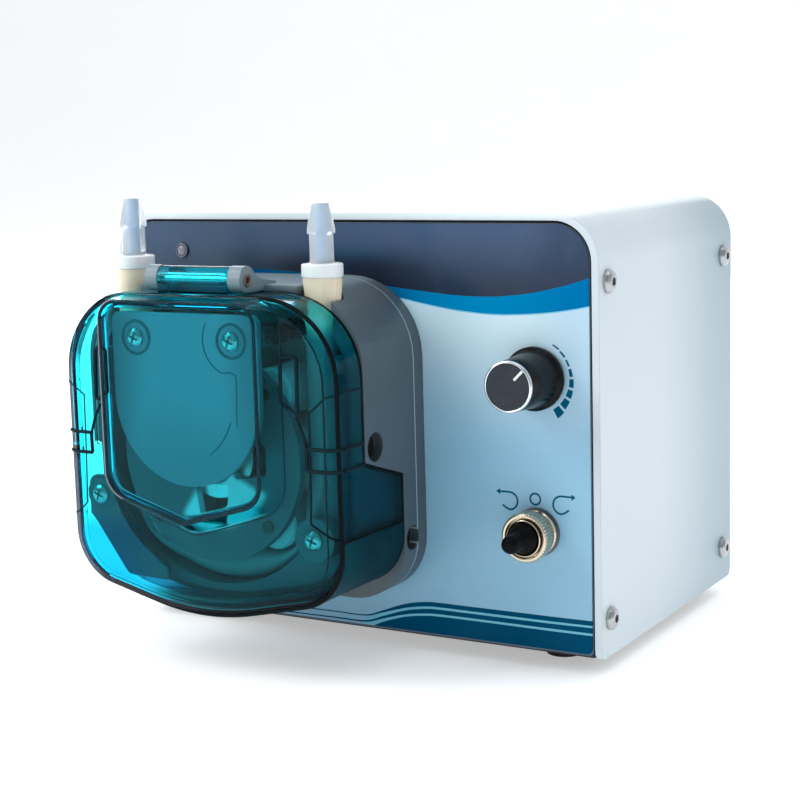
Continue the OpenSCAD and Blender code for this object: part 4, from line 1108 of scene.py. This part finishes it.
# the lower left web of the base, inside the cover
web = [(-48.2, 43.0, 0.8), (-45.2, 40.8, 1), (-33.4, 23.6, 1.5), (-17.0, 23.2, 1), (-17.4, 27.8, 0.8), (-26.4, 33.6, 3), (-31.4, 38.6, 3), (-35.5, 44.5, 3), (-38.5, 51.5, 2), (-40.5, 56.2, 2.5), (-48.2, 56.4, 3.5)]
rings = [[HP(a, y, b) for a, b in rpoly(inset(web, t, 0.2), 6)] for t, y in ((0.0, -44.2), (0.0, -45.4), (0.12, -45.65), (0.4, -45.8))]
v, f = loft(rings)
add_mesh("base_web", v, f, M["grey_plastic"], "housing", smooth=35)


# the hinge pin with a collar at each end, the lines pressed into the guard plate and painted shadow rings round its two
# upper screws
prof = [(0.0, -18.35), (0.95, -18.35), (1.0, -18.7), (1.2, -18.8), (1.85, -18.8), (2.05, -18.65), (2.05, -18.46), (1.5, -18.42)]
prof += [(1.5, -17.0), (1.5, -8.0), (1.5, 8.0), (1.5, 17.0)] + [(r_, -d_) for r_, d_ in reversed(prof)]
v, f = spin(prof, HP(0, HY, HZ), (1, 0, 0), 48, closed=False)
pin = add_mesh("hinge_pin_collared", v, f, M["contact_brass"], "housing", ["hinge_pin"], smooth=35, mats=[M["pin_bronze"], M["plated_steel"], M["black_plastic"]])
for pl in pin.data.polygons:
    c = pl.center - HP(0, HY, HZ)
    rad, ax = math.hypot(c.y, c.z) * 1000, abs(c.x) * 1000
    pl.material_index = 2 if rad < 0.9 and ax > 18 else (1 if ax < 17.5 else 0)
gl = [(18.2 + 10.6 * math.cos(math.radians(a)), 104 + 10.6 * math.sin(math.radians(a))) for a in range(150, 251, 5)]
gl += [(17.6, 94.3), (19.3, 93.7), (19.6, 92.4), (19.5, 86), (19.2, 77.6)]
lines = [sweep_tube([HP(a, -55.02, b) for a, b in gl], 0.22, 8)]
for cu, cz, cy in ((-18.2, 104, -55), (18.2, 104, -55), (-43, 50, -46), (40, 42, -46)):
    pv, pf = [], []
    for a in (20, 110):
        e = Vector((math.cos(math.radians(a)), 0, -math.sin(math.radians(a))))
        g = Vector((e.z, 0, -e.x))
        base = [HP(cu, cy - 1.1, cz), HP(cu, cy - 1.69, cz)]
        rr = [[b + e * (sa * 0.0019) + g * (sb * 0.00042) for sa, sb in ((-1, -0.5), (-0.3, -1), (0.3, -1), (1, -0.5), (1, 0.5), (0.3, 1), (-0.3, 1), (-1, 0.5))] for b in base]
        v_, f_ = loft(rr)
        pf += [tuple(i + len(pv) for i in q) for q in f_]
        pv += v_
    lines.append((pv, pf))
gl = [(17.0, 79.0), (15.4, 75.4), (12.6, 71.6), (8.6, 68.1)]
lines.append(sweep_tube([HP(a, -55.02, b) for a, b in gl], 0.2, 8))
# painted shadow: dark rings round the two upper screws
for s_ in (-1, 1):
    ring_ = [HP(s_ * 18.2 + 5.2 * math.cos(math.radians(a)), -55.05, 104 + 5.2 * math.sin(math.radians(a))) for a in range(0, 360, 10)]
    lines.append(sweep_tube(ring_, 0.5, 8, closed=True))
v, f = joined(lines)
add_mesh("guard_press_lines_and_screw_shadows", v, f, M["dark_grey_plastic"], "housing", smooth=60)

# ------------------------------------------------------------------ tube and fittings
TRACK, OD = 42.1, 11.2


def dent(a):
    return math.exp(-(min(abs(a - 225), abs(a - 315)) / 17) ** 2)


def in_r(a):
    return TRACK - OD + (29.8 + 8 + 0.35 - TRACK + OD) * dent(a)


def tube_rings(off, n, z_left, z_right, flare=0.0):
    st = []
    base = TRACK - 0.05 - OD / 2
    for i in range(40):
        z = z_left + (RZ - z_left) * i / 40
        st.append((180, base, z, OD / 2, OD / 2, max(0.0, 1 - (z_left - z) / 9)))
    for i in range(145):
        a = 180 + i * 1.25
        t = (TRACK - 0.05 - in_r(a)) / 2
        st.append((a, (TRACK - 0.05 + in_r(a)) / 2, RZ, t, math.sqrt(max(2 * (OD / 2) ** 2 - t * t, 1)), 0))
    for i in range(1, 41):
        z = RZ + (z_right - RZ) * i / 40
        st.append((0, base, z, OD / 2, OD / 2, max(0.0, 1 - (z_right - z) / 9)))
    rings = []
    for a, c, z, h, b, fl in st:
        grow = flare * fl * fl * (3 - 2 * fl)
        hh, bb = max(h - off + grow, 0.15), max(b - off + grow, 0.3)
        ca, sa = math.cos(math.radians(a)), math.sin(math.radians(a))
        ring = []
        for k in range(n):
            q = 2 * math.pi * k / n
            d = c + hh * math.cos(q)
            ring.append(HP(d * ca, TY + bb * math.sin(q), z + d * sa))
        rings.append(ring)
    return rings


ZL, ZR = (b1lo.z - Z0) * 1000 + 11, (b2lo.z - Z0) * 1000 + 11
o_r, i_r = tube_rings(0, 40, ZL, ZR, 0.55), tube_rings(2.4, 40, ZL, ZR, 0.5)
v, f = loft(o_r + i_r[::-1], closed=True)
add_mesh("tube", v, f, M["tube_elastomer"], "housing", ["pump_tube"], smooth=50)

BARB = [(1.6, -11), (2.5, -11), (2.95, -10.2), (2.95, -0.3), (3.2, 0), (6.3, 0), (6.5, 0.15), (6.55, 0.4), (6.55, 3.5), (6.48, 3.85), (6.2, 4.05), (4.5, 4.2), (4.05, 4.45), (3.85, 4.9),
        (3.8, 5.6), (3.8, 12.9), (3.9, 13.15), (4.3, 13.3), (4.45, 13.5), (4.43, 14.6), (3.7, 18.4), (2.95, 21.6), (2.8, 22.4), (2.55, 22.75), (2.2, 22.8), (1.75, 22.8), (1.6, 22.65), (1.6, 10)]
for nm, u, z in (("left", -PITCH, ZL), ("right", PITCH, ZR)):
    v, f = spin(BARB, HP(u, TY, z), (0, 0, 1), 72)
    o = add_mesh("barb_" + nm, v, f, M["barb_plastic"], "housing", ["barb_fitting_" + nm], smooth=28)
    o.data.materials.append(M["barb_bore"])
    o.data.materials.append(M["barb_collar"])
    axis = HP(u, TY, z)
    for pl in o.data.polygons:
        if math.hypot(pl.center.x - axis.x, pl.center.y - axis.y) * 1000 < 1.66:
            pl.material_index = 1
        elif (pl.center.z - axis.z) * 1000 < 4.3:
            pl.material_index = 2

# ------------------------------------------------------------------ knob
KP = P(KX, 0, KZ)
body = [(3.0, 0.1), (8, 0.1), (9.6, 0.1), (10.0, 0.35), (10.1, 0.7), (10.1, 2.2), (10.0, 2.5), (9.6, 2.9), (9.2, 3.2), (8.95, 3.6), (8.85, 4.2), (8.72, 5.5), (8.25, 12), (7.97, 18.3), (7.9, 18.5),
        (7.25, 18.5), (7.2, 18.6), (7.2, 19.45), (7.1, 19.58), (3.0, 19.6), (0.6, 19.6), (0.0, 19.6), (0, 14), (3.0, 14)]
verts, faces = spin(body, KP, (0, -1, 0), 128)
knob = add_mesh("knob_cap", verts, faces, M["knob_black"], "speed_knob", ["knob_body"], smooth=28)
knob.data.materials.append(M["knob_face"])
for p in knob.data.polygons:
    c = knob.matrix_world @ p.center
    if (Y0 - c.y) * 1000 > 19.4 and math.hypot((c.x - KP.x), (c.z - KP.z)) * 1000 < 7.15:
        p.material_index = 1
v, f = spin([(7.22, 18.55), (7.95, 18.55), (8.0, 18.7), (8.0, 19.4), (7.92, 19.65), (7.7, 19.83), (7.45, 19.9), (7.28, 19.8), (7.22, 19.6)], KP, (0, -1, 0), 128)
add_mesh("knob_face_ring", v, f, M["knob_chrome"], "speed_knob", ["knob_ring"], smooth=50)
ca = math.radians(45)
dr, sd = Vector((math.sin(ca), 0, math.cos(ca))), Vector((math.cos(ca), 0, -math.sin(ca)))
tip = []
for r0, r1, w_, y in ((3.0, 7.1, 0.4, -19.58), (3.0, 7.1, 0.4, -19.78), (3.08, 7.05, 0.33, -19.85)):
    n = 6
    ring = []
    for k in range(n + 1):
        a = math.pi * k / n
        ring.append(P(KX, y, KZ) + dr * ((r0 + w_ - w_ * math.sin(a)) / 1000) + sd * (w_ * math.cos(a) / 1000))
    for k in range(2):
        ring.append(P(KX, y, KZ) + dr * (r1 / 1000) + sd * ((-w_ if k == 0 else w_) / 1000))
    tip.append(ring)
v, f = loft(tip)
add_mesh("knob_index", v, f, M["pointer_white"], "speed_knob", ["knob_pointer"], smooth=30)

# ------------------------------------------------------------------ toggle
TP = P(TX, 0, TZ)


def knurl(a, k, r, d):
    if r < 7.5 or not 3.0 <= d <= 8.9:
        return 0
    return -0.42 * (0.5 + 0.5 * math.cos(a * 46))


prof = [(6.05, 0.35), (7.2, 0.35), (7.37, 0.5), (7.4, 0.75), (7.4, 1.15), (7.3, 1.35), (7.0, 1.55), (6.9, 1.8), (6.9, 2.4), (7.05, 2.7), (7.5, 3.0), (7.72, 3.2)]
prof += [(7.72 + 0.28 * k / 5, 3.2 + 5.2 * k / 5) for k in range(1, 6)]
prof += [(7.9, 8.75), (7.6, 9.05), (7.35, 9.25), (7.15, 9.3), (6.75, 9.3), (6.55, 9.2), (6.5, 9.0), (6.5, 6.5), (6.05, 6.5)]
v, f = spin(prof, TP, (0, -1, 0), 416, wobble=knurl)
add_mesh("toggle_nut_knurled", v, f, M["champagne_nickel"], "housing", ["toggle_nut"], smooth=40)
v, f = spin([(4.5, -2.9), (5.95, -2.9), (5.95, 9.3), (5.9, 9.6), (5.75, 9.75), (5.6, 9.8), (5.45, 9.7), (5.4, 9.5), (5.4, 2.2), (4.5, 2.2)], TP, (0, -1, 0), 96)
add_mesh("toggle_sleeve", v, f, M["champagne_nickel"], "housing", ["toggle_bushing"], smooth=30)
prof = []
for k in range(0, 19):
    a = math.radians(-72 + 122 * k / 18)
    prof.append((5.25 * math.cos(a), 8 + 5.25 * math.sin(a)))
prof += [(3.12, 12.35), (2.98, 13.1), (2.93, 14.2), (2.93, 15.2), (2.98, 15.5), (2.98, 15.9), (2.93, 16.2), (2.93, 18.2), (2.85, 18.8), (2.6, 19.5), (2.15, 20.05), (1.5, 20.38), (0.7, 20.48), (0, 20.5), (0, 18.05), (1.65, 17.6), (1.65, 3.1)]
v, f = spin(prof, TP, (0, -1, 0), 96)
add_mesh("toggle_cap", v, f, M["boot_rubber"], "direction_toggle", ["toggle_boot"], smooth=60)

# ------------------------------------------------------------------ stage, light and camera
floor_m = Mat("stage_floor")
floor_m.set(color=floor_m.mix(floor_m.noise(300, 2), lin(244, 245, 246), lin(250, 250, 251)), rough=0.85, spec=0.2, emit=0.4, emit_color=(1, 1, 1, 1))
rings, half, back = [], 4.0, 3.0
prof = [(-3.2, 0), (0.8, 0)] + [(back - 1.2 + 1.2 * math.sin(math.radians(a)), 1.2 - 1.2 * math.cos(math.radians(a))) for a in range(0, 91, 6)] + [(back, 5.0)]
fv = [(x, y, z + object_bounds()[0].z) for y, z in prof for x in (-half, half)]
ff = [(2 * i, 2 * i + 1, 2 * i + 3, 2 * i + 2) for i in range(len(prof) - 1)]
floor = add_mesh("stage_sweep", fv, ff, floor_m.m, None, recalc=False, smooth=60)

world = bpy.data.worlds.new("studio")
scene.world = world
world.use_nodes = True
bg = world.node_tree.nodes["Background"]
bg.inputs["Color"].default_value = (0.93, 0.97, 1.0, 1)
bg.inputs["Strength"].default_value = 0.44


def area(name, loc, target, size, size_y, power, color=(1, 1, 1)):
    d = bpy.data.lights.new(name, "AREA")
    d.shape, d.size, d.size_y, d.energy, d.color = "RECTANGLE", size, size_y, power, color
    o = bpy.data.objects.new(name, d)
    scene.collection.objects.link(o)
    o.location = loc
    o.rotation_mode = "QUATERNION"
    o.rotation_quaternion = (Vector(target) - Vector(loc)).to_track_quat("-Z", "Y")
    return o


mid = (0, 0, 0.07)
area("key_left", (-0.95, -0.75, 0.95), mid, 0.9, 0.9, 14, (1.0, 0.99, 0.97))
area("top_soft", (0.1, 0.1, 1.35), mid, 1.3, 1.1, 6.6, (0.96, 0.98, 1.0))
area("right_soft", (1.25, -0.15, 0.55), mid, 0.9, 1.0, 0.8, (0.95, 0.98, 1.0))
area("back_glow", (-0.75, 0.95, 0.35), (HX / 1000, -0.05, 0.07), 0.9, 0.9, 9, (0.96, 0.99, 1.0))

cam_data = bpy.data.cameras.new("camera")
cam_data.lens, cam_data.sensor_width = 79.23, 36.0
cam_data.clip_start, cam_data.clip_end = 0.01, 50
cam = bpy.data.objects.new("camera", cam_data)
scene.collection.objects.link(cam)
yaw, pitch, roll = math.radians(30.161386584662644), math.radians(-8.900797330331377), math.radians(-1.5650250445971372)
d = Vector((-math.sin(yaw) * math.cos(pitch), math.cos(yaw) * math.cos(pitch), math.sin(pitch)))
r = Vector((math.cos(yaw), math.sin(yaw), 0))
u = r.cross(d)
R_ = r * math.cos(roll) + u * math.sin(roll)
U_ = u * math.cos(roll) - r * math.sin(roll)
cam.matrix_world = Matrix(((R_.x, U_.x, -d.x, 0.305583), (R_.y, U_.y, -d.y, -0.520055), (R_.z, U_.z, -d.z, 0.172858), (0, 0, 0, 1)))
scene.camera = cam
scene.view_settings.view_transform = "Standard"
